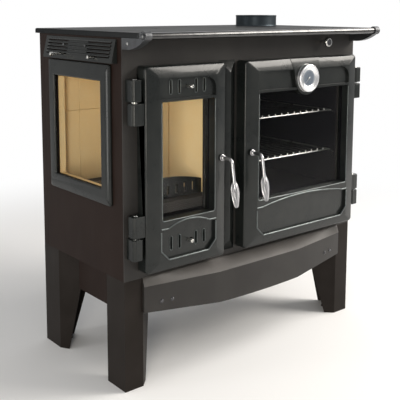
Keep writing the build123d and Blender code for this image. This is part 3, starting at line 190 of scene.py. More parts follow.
class Nodes:
    """The nodes of one material or world."""

    def __init__(self, owner: bpy.types.Material | bpy.types.World, output: str) -> None:
        """Empty the owner's tree and add its output.

        Args:
            owner: the material or world.
            output: type of its output node.
        """
        owner.use_nodes = True
        self.tree = owner.node_tree
        self.tree.nodes.clear()
        self.output = self.tree.nodes.new(output)

    def feed(self, socket: bpy.types.NodeSocket, value: object) -> None:
        """Link a signal to a socket, or set the socket's own value.

        Args:
            socket: the input socket.
            value: a signal, or the socket's constant.
        """
        if isinstance(value, Signal):
            self.tree.links.new(value.socket, socket)
        else:
            socket.default_value = value

    def add(self, kind: str, settings: dict | None = None, inputs: dict | None = None,
            output: int | str = 0) -> Signal:
        """Add a node.

        Args:
            kind: the node's type.
            settings: its own settings; "stops" gives a ramp's (position, colour) pairs.
            inputs: value or signal for each input, by name or index.
            output: the output to return.

        Returns:
            The chosen output.
        """
        node = self.tree.nodes.new(kind)
        for key, value in (settings or {}).items():
            if key == "stops":
                ramp = node.color_ramp
                while len(ramp.elements) < len(value):
                    ramp.elements.new(0.5)
                for element, (position, colour) in zip(ramp.elements, value):
                    element.position = position
                    element.color = (*colour, 1.0)
            else:
                setattr(node, key, value)
        for key, value in (inputs or {}).items():
            self.feed(node.inputs[key], value)
        return Signal(self, node.outputs[output])

    def place(self, stretch: Point = (1.0, 1.0, 1.0)) -> Signal:
        """Object coordinates in metres.

        Args:
            stretch: factor on each axis; below 1 a pattern is drawn out along it.

        Returns:
            The coordinates.
        """
        coords = self.add("ShaderNodeTexCoord", output="Object")
        if stretch == (1.0, 1.0, 1.0):
            return coords
        return self.add("ShaderNodeMapping", {}, {"Vector": coords, "Scale": stretch})

    def axis(self, name: str) -> Signal:
        """One Object coordinate in metres."""
        return self.add("ShaderNodeSeparateXYZ", {}, {0: self.place()}, name)

    def noise(self, size_mm: float, detail: float = 2.0, stretch: Point = (1.0, 1.0, 1.0),
              rough: float = 0.5) -> Signal:
        """Noise between 0 and 1.

        Args:
            size_mm: rough size of its features.
            detail: octaves of finer noise.
            stretch: factor on each axis.
            rough: how strong the finer noise is.

        Returns:
            The noise.
        """
        inputs = {"Vector": self.place(stretch), "Scale": 1.0 / (size_mm * MM), "Detail": detail,
                  "Roughness": rough}
        return self.add("ShaderNodeTexNoise", {}, inputs)

    def cells(self, size_mm: float) -> Signal:
        """Distance to the nearest of scattered points this many millimetres apart."""
        inputs = {"Vector": self.place(), "Scale": 1.0 / (size_mm * MM)}
        return self.add("ShaderNodeTexVoronoi", {}, inputs)

    def vector(self, operation: str, first: Signal, second: Point = (0.0, 0.0, 0.0),
               output: int | str = 0) -> Signal:
        """Vector maths.

        Args:
            operation: the node's operation.
            first: the vector.
            second: a constant vector.
            output: the output to return.

        Returns:
            The result.
        """
        return self.add("ShaderNodeVectorMath", {"operation": operation}, {0: first, 1: second}, output)

    def mix(self, factor: Signal | float, first: Signal | Colour, second: Signal | Colour) -> Signal:
        """Blend two colours.

        Args:
            factor: 0 for the first, 1 for the second.
            first: a colour or its signal.
            second: a colour or its signal.

        Returns:
            The blended colour.
        """
        node = self.tree.nodes.new("ShaderNodeMix")
        node.data_type = "RGBA"
        self.feed(node.inputs["Factor"], factor)
        for socket, value in zip((node.inputs[6], node.inputs[7]), (first, second)):
            self.feed(socket, value if isinstance(value, Signal) else (*value, 1.0))
        return Signal(self, node.outputs[2])

    def seen_plainly(self) -> Signal:
        """Tell the rays that show the surroundings from those that light the stove.

        Returns:
            1 on rays from the camera and on those that a mirror or pane sends on.
        """
        kinds = [self.add("ShaderNodeLightPath", output=name)
                 for name in ("Is Camera Ray", "Is Glossy Ray", "Is Transmission Ray")]
        return kinds[0].highest(kinds[1]).highest(kinds[2])

    def blend(self, factor: Signal, first: Signal, second: Signal) -> None:
        """Show a blend of two shaders."""
        mixed = self.add("ShaderNodeMixShader", {}, {0: factor, 1: first, 2: second})
        self.feed(self.output.inputs["Surface"], mixed)


class Graph(Nodes):
    """The nodes of one material, with a Principled shader as its surface."""

    def __init__(self, name: str) -> None:
        """Start a material.

        Args:
            name: its name.
        """
        self.material = bpy.data.materials.new(name)
        super().__init__(self.material, "ShaderNodeOutputMaterial")
        self.bsdf = self.tree.nodes.new("ShaderNodeBsdfPrincipled")
        self.tree.links.new(self.bsdf.outputs[0], self.output.inputs["Surface"])

    def bump(self, height: Signal, depth_mm: float, strength: float = 1.0,
             under: Signal | None = None) -> Signal:
        """Normal bumped by a height signal.

        Args:
            height: the height, about 0 to 1.
            depth_mm: how deep a step of 1 is.
            strength: share of the bump that shows.
            under: another bump to lay it over.

        Returns:
            The normal.
        """
        inputs = {"Height": height, "Distance": depth_mm * MM, "Strength": strength}
        if under is not None:
            inputs["Normal"] = under
        return self.add("ShaderNodeBump", {}, inputs)

    def surface(self, **values: object) -> bpy.types.Material:
        """Set the Principled shader's inputs and finish.

        Args:
            **values: value or signal for each input, its name written with underscores.

        Returns:
            The material.
        """
        for key, value in values.items():
            words = key.replace("_", " ")
            if words == "Base Color" and not isinstance(value, Signal):
                value = (*value, 1.0)
            self.feed(self.bsdf.inputs[words], value)
        return self.material


# -------------------------------------------------------------------------------------- finishes
@dataclass(frozen=True)
class SprayedPaint:
    """Heat-proof satin paint on sheet steel, with a fine sprayed grain and faint clouding."""

    name: str
    colour: Colour
    clouded: Colour
    roughness: float
    shine: float
    grain_mm: float = 0.9
    cloud_mm: float = 90.0
    rub_mm: float = 35.0
    wave_mm: float = 160.0
    upright: Point = (1.0, 1.0, 0.35)

    def material(self) -> bpy.types.Material:
        """Build the material.

        Returns:
            The material.
        """
        graph = Graph(self.name)
        cloud = graph.noise(self.cloud_mm, 3.0).step(0.3, 0.7)
        speck = graph.noise(self.grain_mm, 2.0)
        colour = graph.mix(cloud * 0.8 + speck * 0.2, self.colour, self.clouded)
        rub = graph.noise(self.rub_mm, 4.0, self.upright).step(0.45, 0.75)
        grain = graph.bump(speck, 0.05, 0.5)
        waves = graph.bump(graph.noise(self.wave_mm, 1.0), 0.5, 0.25, grain)
        return graph.surface(Base_Color=colour, Roughness=self.roughness + cloud * 0.06 - rub * 0.07,
                             Specular_IOR_Level=self.shine, Normal=waves)


@dataclass(frozen=True)
class CastPaint:
    """Semi-gloss stove enamel over a fine-grained casting."""

    name: str
    colour: Colour
    clouded: Colour
    roughness: float
    shine: float = 0.2
    coat: float = 0.26
    coat_roughness: float = 0.08
    cloud_mm: float = 55.0
    grain_mm: float = 1.6
    pit_mm: float = 5.5
    swell_mm: float = 48.0

    def material(self) -> bpy.types.Material:
        """Build the material.

        Returns:
            The material.
        """
        graph = Graph(self.name)
        cloud = graph.noise(self.cloud_mm, 4.0).step(0.3, 0.72)
        grain = graph.noise(self.grain_mm, 3.0, rough=0.6)
        pits = graph.cells(self.pit_mm).step(0.32, 0.1) * graph.noise(14.0, 2.0).step(0.5, 0.68)
        colour = graph.mix(cloud * 0.75 + grain * 0.25, self.colour, self.clouded)
        relief = graph.bump(grain, 0.14, 0.55)
        swell = graph.bump(graph.noise(self.swell_mm, 2.0), 1.1, 0.28, relief)
        pitted = graph.bump(1.0 - pits, 0.12, 0.5, swell)
        return graph.surface(Base_Color=colour, Roughness=self.roughness + grain * 0.1 + cloud * 0.07,
                             Specular_IOR_Level=self.shine, Coat_Weight=self.coat,
                             Coat_Roughness=self.coat_roughness, Normal=pitted)


@dataclass(frozen=True)
class GroundSteel:
    """Dark ground steel plate with fine parallel grinding marks and heat tints."""

    name: str
    colour: Colour
    tint: Colour
    roughness: float = 0.36
    metallic: float = 0.75
    mirrored: Colour = (0.3, 0.3, 0.3)
    mark_mm: float = 0.7
    along: Point = (0.05, 1.0, 1.0)
    heat_mm: float = 140.0

    def material(self) -> bpy.types.Material:
        """Build the material.

        Returns:
            The material.
        """
        graph = Graph(self.name)
        marks = graph.noise(self.mark_mm, 2.0, self.along)
        heat = graph.noise(self.heat_mm, 3.0).step(0.35, 0.75)
        colour = graph.mix(heat * 0.6 + marks * 0.25, self.colour, self.tint)
        normal = graph.bump(marks, 0.03, 0.5)
        return graph.surface(Base_Color=colour, Metallic=self.metallic, Specular_IOR_Level=0.3,
                             Specular_Tint=(*self.mirrored, 1.0), Normal=normal,
                             Roughness=self.roughness + marks * 0.14 - heat * 0.05)


@dataclass(frozen=True)
class BrightMetal:
    """Plated or polished metal; scratch size and depth set how polished it is."""

    name: str
    colour: Colour
    shade: Colour
    roughness: float
    scratch_mm: float = 0.6
    scratch_depth: float = 0.01
    smear_mm: float = 18.0

    def material(self) -> bpy.types.Material:
        """Build the material.

        Returns:
            The material.
        """
        graph = Graph(self.name)
        scratch = graph.noise(self.scratch_mm, 2.0)
        smear = graph.noise(self.smear_mm, 3.0).step(0.4, 0.75)
        colour = graph.mix(smear * 0.6 + scratch * 0.2, self.colour, self.shade)
        normal = graph.bump(scratch, self.scratch_depth, 0.6)
        return graph.surface(Base_Color=colour, Metallic=1.0, Normal=normal,
                             Roughness=self.roughness + smear * 0.08 + scratch * 0.06)


@dataclass(frozen=True)
class FireBoard:
    """Pressed mineral fire board, matt, with flakes, darker towards its lower edge."""

    name: str
    colour: Colour
    flake: Colour
    lower_colour: Colour
    darker_below: Span = (425.0, 460.0)
    flake_mm: float = 3.2
    grain_mm: float = 1.8
    cloud_mm: float = 70.0
    dark_edge_mm: float = 45.0

    def material(self) -> bpy.types.Material:
        """Build the material.

        Returns:
            The material.
        """
        graph = Graph(self.name)
        flakes = graph.cells(self.flake_mm).step(0.15, 0.6)
        grain = graph.noise(self.grain_mm, 4.0, rough=0.65)
        cloud = graph.noise(self.cloud_mm, 3.0).step(0.3, 0.75)
        board = graph.mix(flakes * 0.35 + grain * 0.3 + cloud * 0.3, self.colour, self.flake)
        # The board turns darker towards its lower edge, along a wavy line.
        level = graph.axis("Z") + (graph.noise(self.dark_edge_mm, 4.0) - 0.5) * 0.05
        low, high = (height * MM for height in self.darker_below)
        colour = graph.mix(level.step(high, low) * 0.3, board, self.lower_colour)
        rough = graph.bump(grain * 0.7 + flakes * 0.3, 0.5, 0.6)
        return graph.surface(Base_Color=colour, Roughness=0.88 + grain * 0.1, Specular_IOR_Level=0.25,
                             Normal=rough)


@dataclass(frozen=True)
class HeatGlass:
    """Clear heat-proof glass with a faint haze; it mirrors more the flatter one looks at it."""

    name: str
    tint: Colour = (0.02, 0.02, 0.022)
    clear: float = 0.03
    mirror: float = 0.9
    index: float = 1.6
    haze_mm: float = 60.0
    wave_mm: float = 120.0

    def material(self) -> bpy.types.Material:
        """Build the material.

        Returns:
            The material.
        """
        graph = Graph(self.name)
        haze = graph.noise(self.haze_mm, 3.0).step(0.55, 0.85)
        slant = graph.add("ShaderNodeLayerWeight", {}, {"Blend": 0.5}, "Facing")
        waves = graph.bump(graph.noise(self.wave_mm, 1.0), 0.35, 0.15)
        cover = slant ** 5.0 * self.mirror + haze * 0.012 + self.clear
        return graph.surface(Base_Color=self.tint, Roughness=0.02 + haze * 0.03, IOR=self.index,
                             Specular_IOR_Level=1.0, Alpha=cover, Normal=waves)


@dataclass(frozen=True)
class BraidedRope:
    """Braided glass-fibre rope, grey, matt."""

    name: str
    colour: Colour = (0.16, 0.155, 0.145)
    dark: Colour = (0.05, 0.048, 0.045)
    strand_mm: float = 3.5
    fibre_mm: float = 0.8

    def material(self) -> bpy.types.Material:
        """Build the material.

        Returns:
            The material.
        """
        graph = Graph(self.name)
        x, z = graph.axis("X"), graph.axis("Z")
        pitch = 2.0 * math.pi / (self.strand_mm * MM)
        weave = ((x + z) * pitch).wave() * ((x - z) * pitch).wave() * 0.5 + 0.5
        fibre = graph.noise(self.fibre_mm, 3.0)
        colour = graph.mix(weave * 0.7 + fibre * 0.3, self.dark, self.colour)
        return graph.surface(Base_Color=colour, Roughness=0.92 + fibre * 0.05, Sheen_Weight=0.15,
                             Normal=graph.bump(weave, 0.5, 0.8))


@dataclass(frozen=True)
class SpeckledEnamel:
    """Dark vitreous enamel with pale specks."""

    name: str
    colour: Colour
    speck: Colour
    roughness: float
    speck_mm: float = 4.0
    peel_mm: float = 6.0

    def material(self) -> bpy.types.Material:
        """Build the material.

        Returns:
            The material.
        """
        graph = Graph(self.name)
        specks = graph.cells(self.speck_mm).step(0.12, 0.05) * graph.noise(9.0, 2.0).step(0.45, 0.6)
        peel = graph.noise(self.peel_mm, 2.0)
        colour = graph.mix(specks * 0.5 + peel * 0.1, self.colour, self.speck)
        return graph.surface(Base_Color=colour, Roughness=self.roughness + peel * 0.12,
                             Normal=graph.bump(peel, 0.12, 0.3))


@dataclass(frozen=True)
class DialPrint:
    """A dark dial with a pale rim that fades towards its middle."""

    name: str
    centre: Point
    colour: Colour
    rim: Colour
    radius: float = 20.0

    def material(self) -> bpy.types.Material:
        """Build the material.

        Returns:
            The material.
        """
        graph = Graph(self.name)
        across = (graph.axis("X") - self.centre[0]) ** 2.0
        up = (graph.axis("Z") - self.centre[2]) ** 2.0
        out = (across + up) ** 0.5 / (self.radius * MM)
        colour = graph.mix(out.step(0.8, 1.0) * 0.6 + graph.noise(3.0) * 0.15, self.colour, self.rim)
        return graph.surface(Base_Color=colour, Roughness=0.32 + graph.noise(8.0) * 0.1)


@dataclass(frozen=True)
class Backdrop:
    """Studio floor of pale paper that runs out into white far behind the stove, in metres."""

    name: str
    centre: Point
    behind: Point
    sector: Span = (0.3, 0.7)
    colour: Colour = (0.86, 0.86, 0.86)
    unlit: Colour = (0.36, 0.36, 0.36)
    far: Span = (0.9, 2.1)
    fibre_mm: float = 3.0

    def material(self) -> bpy.types.Material:
        """Build the material.

        Returns:
            The material.
        """
        graph = Graph(self.name)
        place = graph.vector("SUBTRACT", graph.place(), self.centre)
        distance = graph.vector("LENGTH", place, output="Value")
        along = graph.vector("DOT_PRODUCT", place, self.behind, "Value")
        seen = graph.seen_plainly()
        white = distance.step(*self.far) * (along / distance).step(*self.sector) * seen
        fibre = graph.noise(self.fibre_mm, 2.0)
        graph.surface(Base_Color=graph.mix(seen, self.unlit, self.colour), Roughness=0.85 + fibre * 0.1,
                      Specular_IOR_Level=0.0)
        glow = graph.add("ShaderNodeEmission", {}, {"Color": (1.0, 1.0, 1.0, 1.0), "Strength": 1.0})
        graph.blend(white, Signal(graph, graph.bsdf.outputs[0]), glow)
        return graph.material


class Palette:
    """The finishes, kept by the record's material slots and by the names of small trim."""

    def __init__(self, middle_x: float) -> None:
        """Build every finish.

        Args:
            middle_x: the casing's middle in Blender's metres, for the dial's rim.
        """
        dial_centre = (middle_x + OVEN_X * MM, 0.0, DIAL_Z * MM)
        specs = (
            SprayedPaint("casing_paint", (0.016, 0.009, 0.007), (0.022, 0.014, 0.0115), 0.42, 0.08),
            SprayedPaint("front_paint", (0.031, 0.029, 0.028), (0.041, 0.039, 0.037), 0.40, 0.2),
            # A lighter copy of the front paint for the skirt's sloping top: painted light from above.
            SprayedPaint("ledge_painted_light", (0.085, 0.080, 0.076), (0.110, 0.103, 0.098), 0.38, 0.35),
            # A darker copy of the front paint for the legs: painted shade, as on their sides low beside the
            # floor.
            SprayedPaint("leg_paint_painted_shade", (0.016, 0.013, 0.011), (0.023, 0.019, 0.017), 0.42, 0.09),
            CastPaint("cast_iron", (0.008, 0.010, 0.010), (0.017, 0.019, 0.018), 0.22),
            # A brighter metal than the cast iron for the doors' beads and slot rims: a painted highlight
            # along those edges.
            BrightMetal("bead_painted_highlight", (0.135, 0.15, 0.15), (0.075, 0.085, 0.085), 0.26, 1.6, 0.05),
            GroundSteel("hob_steel", (0.034, 0.036, 0.038), (0.045, 0.046, 0.046)),
            GroundSteel("flue_steel", (0.048, 0.060, 0.070), (0.055, 0.063, 0.068)),
            BrightMetal("bracket_metal", (0.115, 0.12, 0.125), (0.08, 0.08, 0.085), 0.42, 1.4, 0.08),
            # The rail's polished steel is drawn near black: a painted dark reflection of the dim
            # surroundings it mirrors.
            BrightMetal("polished_steel", (0.085, 0.085, 0.085), (0.055, 0.055, 0.056), 0.14, 0.9, 0.01),
            BrightMetal("bezel_chrome", (0.85, 0.85, 0.86), (0.62, 0.62, 0.64), 0.24, 0.8, 0.01),
            BrightMetal("bright_steel", (0.60, 0.60, 0.58), (0.42, 0.42, 0.40), 0.2, 0.8, 0.02),
            BrightMetal("nickel", (0.54, 0.54, 0.555), (0.34, 0.34, 0.35), 0.28, 0.5, 0.03),
            SpeckledEnamel("inner_steel", (0.008, 0.008, 0.011), (0.016, 0.016, 0.019), 0.4),
            BrightMetal("rack_wire", (0.62, 0.62, 0.60), (0.45, 0.45, 0.44), 0.30, 0.8, 0.01),
            # A darker copy of the rack wire for the wires and rear cross bars: painted shade inside the
            # oven.
            BrightMetal("rack_wire_painted_shade", (0.16, 0.16, 0.155), (0.10, 0.10, 0.10), 0.34, 0.8, 0.02),
            FireBoard("lining_board", (0.92, 0.66, 0.30), (0.97, 0.78, 0.45), (0.42, 0.30, 0.15)),
            FireBoard("dark_floor_board", (0.036, 0.034, 0.030), (0.062, 0.057, 0.050), (0.02, 0.02, 0.02)),
            BraidedRope("rope_seal"),
            DialPrint("dial_face", dial_centre, (0.10, 0.125, 0.16), (0.28, 0.31, 0.35)),
            SpeckledEnamel("dial_marks", (0.75, 0.77, 0.78), (0.82, 0.82, 0.8), 0.4),
            BrightMetal("needle_paint", (0.55, 0.56, 0.58), (0.45, 0.46, 0.48), 0.3),
            BrightMetal("dark_steel", (0.10, 0.10, 0.105), (0.06, 0.06, 0.065), 0.22),
            HeatGlass("glass"),
        )
        self.materials = {spec.name: spec.material() for spec in specs}

    def __getitem__(self, name: str) -> bpy.types.Material:
        """The material of that name."""
        return self.materials[name]


# ----------------------------------------------------------------------------------------- bench
class Bench:
    """Hand-modelling tools that work in the stove's millimetres."""

    def __init__(self, frame: dict) -> None:
        """Take the frame and find the middle of the casing.
        """
        self.frame = frame
        front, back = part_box("front_plate"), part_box("back_panel")
        middle_x = (front[0][0] + front[1][0]) / 2
        middle_y = (front[0][1] + back[1][1]) / 2
        self.origin = Vector((middle_x, middle_y, 0.0))
        self.palette = Palette(self.origin.x)
        self.slots = {part["node"]: part["material_slot"] for part in frame["record"]["subparts"]}
        self.placed: list[str] = []

    def at(self, point: Sequence[float]) -> Vector:
        """A stove point in Blender's metres."""
        return self.origin + Vector(point) * MM

    # ------------------------------------------------------------------------------- selection
    def select(self, *pieces: bpy.types.Object) -> None:
        """Select these objects alone.

        Args:
            *pieces: the objects; the first becomes active.
        """
        bpy.ops.object.select_all(action="DESELECT")
        for piece in pieces:
            piece.select_set(True)
        bpy.context.view_layer.objects.active = pieces[0]

    @contextmanager
    def editing(self, piece: bpy.types.Object, pick: Pick = Pick.FACES) -> Iterator[None]:
        """Edit mode on one piece.

        Args:
            piece: the mesh object.
            pick: what is selected.

        Yields:
            Nothing; edit mode lasts as long as the block.
        """
        self.select(piece)
        bpy.ops.object.mode_set(mode="EDIT")
        bpy.ops.mesh.select_mode(type=pick.value)
        try:
            yield
        finally:
            bpy.ops.object.mode_set(mode="OBJECT")

    def pick_faces(self, piece: bpy.types.Object, test: Callable[[Vector, Vector], bool]) -> None:
        """Select, in edit mode, the faces that pass a test, and nothing else.

        Args:
            piece: the object in edit mode.
            test: takes a face's middle in stove millimetres and its normal.
        """
        bpy.ops.mesh.select_all(action="DESELECT")
        mesh = bmesh.from_edit_mesh(piece.data)
        for face in mesh.faces:
            middle = (face.calc_center_median() - self.origin) / MM
            if test(middle, face.normal):
                face.select_set(True)
        bmesh.update_edit_mesh(piece.data)

    def pick_edges(self, piece: bpy.types.Object, test: Callable[[Vector, Vector], bool]) -> None:
        """Select, in edit mode, the edges whose two ends pass a test, and nothing else.

        Args:
            piece: the object in edit mode.
            test: takes the edge's two ends in stove millimetres.
        """
        bpy.ops.mesh.select_all(action="DESELECT")
        mesh = bmesh.from_edit_mesh(piece.data)
        for edge in mesh.edges:
            ends = [(vert.co - self.origin) / MM for vert in edge.verts]
            if test(*ends):
                edge.select_set(True)
        bmesh.update_edit_mesh(piece.data)

    def settle(self, piece: bpy.types.Object) -> bpy.types.Object:
        """Bring a piece's place, turn and size into its mesh.

        Args:
            piece: the piece, somewhere in the scene.

        Returns:
            The same piece, its object at the origin.
        """
        self.select(piece)
        bpy.ops.object.transform_apply(location=True, rotation=True, scale=True)
        return piece

    def outward(self, piece: bpy.types.Object) -> bpy.types.Object:
        """Merge doubles and point all faces outwards.

        Args:
            piece: a closed mesh.

        Returns:
            The same piece.
        """
        with self.editing(piece):
            bpy.ops.mesh.select_all(action="SELECT")
            bpy.ops.mesh.remove_doubles(threshold=0.00001)
            bpy.ops.mesh.normals_make_consistent(inside=False)
        return piece

    # ------------------------------------------------------------------------------ first shapes
    def block(self, name: str, xs: Span, ys: Span, zs: Span) -> bpy.types.Object:
        """A rectangular blank.

        Args:
            name: the piece's name.
            xs: its left and right, in stove coordinates.
            ys: its front and back.
            zs: its foot and top.

        Returns:
            The blank.
        """
        middle = self.at([sum(pair) / 2 for pair in (xs, ys, zs)])
        bpy.ops.mesh.primitive_cube_add(size=1.0, location=middle)
        piece = bpy.context.active_object
        piece.name = name
        piece.scale = [(high - low) * MM for low, high in (xs, ys, zs)]
        return self.settle(piece)

    def turned(self, name: str, start: Point, towards: Point, steps: Sequence[Span], sides: int = 48,
               turn: float = 0.0, flutes: tuple[int, float] = (0, 0.0)) -> bpy.types.Object:
        """A blank turned on a lathe: a disc that is extruded and resized step by step.

        Args:
            name: the piece's name.
            start: stove point where the axis starts.
            towards: direction of the axis.
            steps: pairs of distance along the axis and radius, both in millimetres.
            sides: number of sides of the disc.
            turn: turn of each step about the axis, in degrees.
            flutes: number of hollows round the axis, and their depth as a share of the radius.

        Returns:
            The closed piece.
        """
        bpy.ops.mesh.primitive_circle_add(vertices=sides, radius=steps[0][1] * MM, fill_type="NGON")
        piece = bpy.context.active_object
        piece.name = name
        count, depth = flutes
        if count:
            for vert in piece.data.vertices:
                wave = math.cos(count * math.atan2(vert.co.y, vert.co.x))
                vert.co *= 1.0 - depth * (0.5 - 0.5 * wave) ** 2
        with self.editing(piece):
            bpy.ops.mesh.select_all(action="SELECT")
            for before, (height, radius) in zip(steps, steps[1:]):
                lift = (0.0, 0.0, (height - before[0]) * MM)
                bpy.ops.mesh.extrude_region_move(TRANSFORM_OT_translate={"value": lift})
                centre = (0.0, 0.0, (height - steps[0][0]) * MM)
                share = radius / before[1]
                bpy.ops.transform.resize(value=(share, share, 1.0), center_override=centre)
                if turn:
                    bpy.ops.transform.rotate(value=math.radians(turn), orient_axis="Z",
                                             center_override=centre)
        self.outward(piece)
        direction = Vector(towards).normalized()
        piece.rotation_mode = "QUATERNION"
        piece.rotation_quaternion = Vector((0.0, 0.0, 1.0)).rotation_difference(direction)
        piece.location = self.at(start) + direction * steps[0][0] * MM
        return self.settle(piece)

    def rod(self, name: str, points: Sequence[Point], radius: float, bend: float = 0.0,
            sides: int = 6) -> bpy.types.Object:
        """A round rod along straight runs with rounded bends.

        Args:
            name: the piece's name.
            points: stove points of the runs' corners.
            radius: the rod's radius.
            bend: radius of the bends.
            sides: resolution of the round section.

        Returns:
            The rod as a closed mesh.
        """
        route = [Vector(point) for point in points]
        corners = [route[0]]
        for before, corner, after in zip(route, route[1:], route[2:]):
            towards, away = (before - corner).normalized(), (after - corner).normalized()
            half = towards.angle(away) / 2
            shorter = min((before - corner).length, (after - corner).length)
            reach = min(bend / math.tan(half), 0.49 * shorter)
            corners += [corner + towards * reach, corner + away * reach]
        corners.append(route[-1])
        bpy.ops.object.add(type="CURVE")
        piece = bpy.context.active_object
        piece.name = name
        curve = piece.data
        curve.dimensions = "3D"
        curve.bevel_depth = radius * MM
        curve.bevel_resolution = sides
        curve.use_fill_caps = True
        curve.resolution_u = 10
        spline = curve.splines.new("BEZIER")
        spline.bezier_points.add(len(corners) - 1)
        for index, corner in enumerate(corners):
            knot = spline.bezier_points[index]
            knot.co = self.at(corner)
            knot.handle_left_type = knot.handle_right_type = "VECTOR"
        for index in range(1, len(corners) - 1, 2):
            first, second = spline.bezier_points[index], spline.bezier_points[index + 1]
            reach = (second.co - first.co).length * 0.37
            corner = self.at(route[(index + 1) // 2])
            first.handle_right_type = second.handle_left_type = "FREE"
            first.handle_right = first.co + (corner - first.co).normalized() * reach
            second.handle_left = second.co + (corner - second.co).normalized() * reach
        self.select(piece)
        bpy.ops.object.convert(target="MESH")
        return self.outward(bpy.context.active_object)

    def from_node(self, node: str) -> bpy.types.Object:
        """A merged copy of a CAD node's mesh, to work on further.

        Args:
            node: the CAD node.

        Returns:
            The copy, with its flat faces joined up.
        """
        source = self.frame["nodes"][node]
        piece = source.copy()
        piece.data = source.data.copy()
        piece.name = f"{node}_dressed"
        for key in list(piece.keys()):
            del piece[key]
        bpy.context.scene.collection.objects.link(piece)
        piece.parent = None
        piece.matrix_world = Matrix.Identity(4)
        with self.editing(piece):
            bpy.ops.mesh.select_all(action="SELECT")
            bpy.ops.mesh.remove_doubles(threshold=0.000005)
            bpy.ops.mesh.dissolve_limited(angle_limit=math.radians(0.6), delimit=set())
        return piece

    # ----------------------------------------------------------------------------- shaping tools
    def apply(self, piece: bpy.types.Object, kind: str, **settings: object) -> bpy.types.Object:
        """Add a modifier, set it and apply it.

        Args:
            piece: the piece under work.
            kind: the modifier's type.
            **settings: its properties.

        Returns:
            The same piece.
        """
        modifier = piece.modifiers.new(kind.title(), kind)
        for key, value in settings.items():
            setattr(modifier, key, value)
        self.select(piece)
        bpy.ops.object.modifier_apply(modifier=modifier.name)
        return piece

    def cut(self, piece: bpy.types.Object, tool: bpy.types.Object) -> bpy.types.Object:
        """Cut a tool body out of a piece.

        Args:
            piece: the piece under work.
            tool: the body to cut away, which is used up.

        Returns:
            The same piece.
        """
        self.apply(piece, "BOOLEAN", object=tool, operation="DIFFERENCE", solver="EXACT")
        bpy.data.objects.remove(tool, do_unlink=True)
        return piece

    def soften(self, piece: bpy.types.Object, edge: float, segments: int = 2,
               sharper_than: float = 28.0) -> bpy.types.Object:
        """Round the sharp edges and shade the piece smooth over them.

        Args:
            piece: the piece under work.
            edge: width of the rounding in millimetres; 0 leaves the edges.
            segments: steps of the rounding.
            sharper_than: edges that turn more than this many degrees are rounded.

        Returns:
            The same piece.
        """
        if edge:
            self.apply(piece, "BEVEL", width=edge * MM, segments=segments, limit_method="ANGLE",
                       angle_limit=math.radians(sharper_than), use_clamp_overlap=True)
        self.select(piece)
        bpy.ops.object.shade_smooth_by_angle(angle=math.radians(40.0))
        return self.apply(piece, "WEIGHTED_NORMAL", keep_sharp=True, weight=60)

    def copy(self, piece: bpy.types.Object, name: str, shift: Point = (0.0, 0.0, 0.0)) -> bpy.types.Object:
        """A copy with its own mesh.

        Args:
            piece: the piece to copy.
            name: the copy's name.
            shift: how far it moves, in stove millimetres.

        Returns:
            The copy.
        """
        twin = piece.copy()
        twin.data = piece.data.copy()
        twin.name = name
        bpy.context.scene.collection.objects.link(twin)
        twin.location = Vector(shift) * MM
        return self.settle(twin)

    def swing(self, piece: bpy.types.Object, centre: Point, axis: Point,
              degrees: float) -> bpy.types.Object:
        """Turn a piece.

        Args:
            piece: the piece.
            centre: a stove point on the axis.
            axis: direction of the axis.
            degrees: how far it turns.

        Returns:
            The same piece.
        """
        pivot = Matrix.Translation(self.at(centre))
        turn = Matrix.Rotation(math.radians(degrees), 4, Vector(axis))
        piece.matrix_world = pivot @ turn @ pivot.inverted()
        return self.settle(piece)

    def join(self, name: str, pieces: Sequence[bpy.types.Object]) -> bpy.types.Object:
        """Join pieces into one object.

        Args:
            name: its name.
            pieces: one piece or more, which are used up.

        Returns:
            The joined piece.
        """
        self.select(*pieces)
        if len(pieces) > 1:
            bpy.ops.object.join()
        pieces[0].name = name
        return pieces[0]

    def row(self, name: str, piece: bpy.types.Object, shifts: Sequence[Point]) -> bpy.types.Object:
        """Copies of one piece at further places, joined with it."""
        return self.join(name, [piece, *(self.copy(piece, name, shift) for shift in shifts)])

    # ------------------------------------------------------------------------------------ fitting
    def fit(self, piece: bpy.types.Object, body: str, slot: str, finish: str | None = None,
            replaces: Sequence[str] = ()) -> bpy.types.Object:
        """Give a finished piece its finish, body and slot.

        Args:
            piece: the finished piece.
            body: the body that it rides on.
            slot: the record's material slot.
            finish: the palette's material, where it isn't the slot's own.
            replaces: CAD nodes that it stands for.

        Returns:
            The same piece.
        """
        piece.data.materials.clear()
        piece.data.materials.append(self.palette[finish or slot])
        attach(piece, body)
        if replaces:
            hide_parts(*replaces)
        self.placed.append(piece.name)
        return piece

    def dress(self, node: str, body: str, edge: float, segments: int = 2,
              finish: str | None = None) -> bpy.types.Object:
        """Stand a copy of a CAD node with rounded edges in its place.

        Args:
            node: the CAD node.
            body: its body.
            edge: width of the rounded edges in millimetres.
            segments: steps of the rounding.
            finish: the palette's material, where it isn't the slot's own.

        Returns:
            The dressed piece.
        """
        piece = self.soften(self.from_node(node), edge, segments)
        return self.fit(piece, body, self.slots[node], finish, (node,))

    def coat(self, node: str) -> None:
        """Give a CAD node that stays in place its slot's finish.

        Args:
            node: the CAD node.
        """
        mesh = self.frame["nodes"][node].data
        mesh.materials.clear()
        mesh.materials.append(self.palette[self.slots[node]])


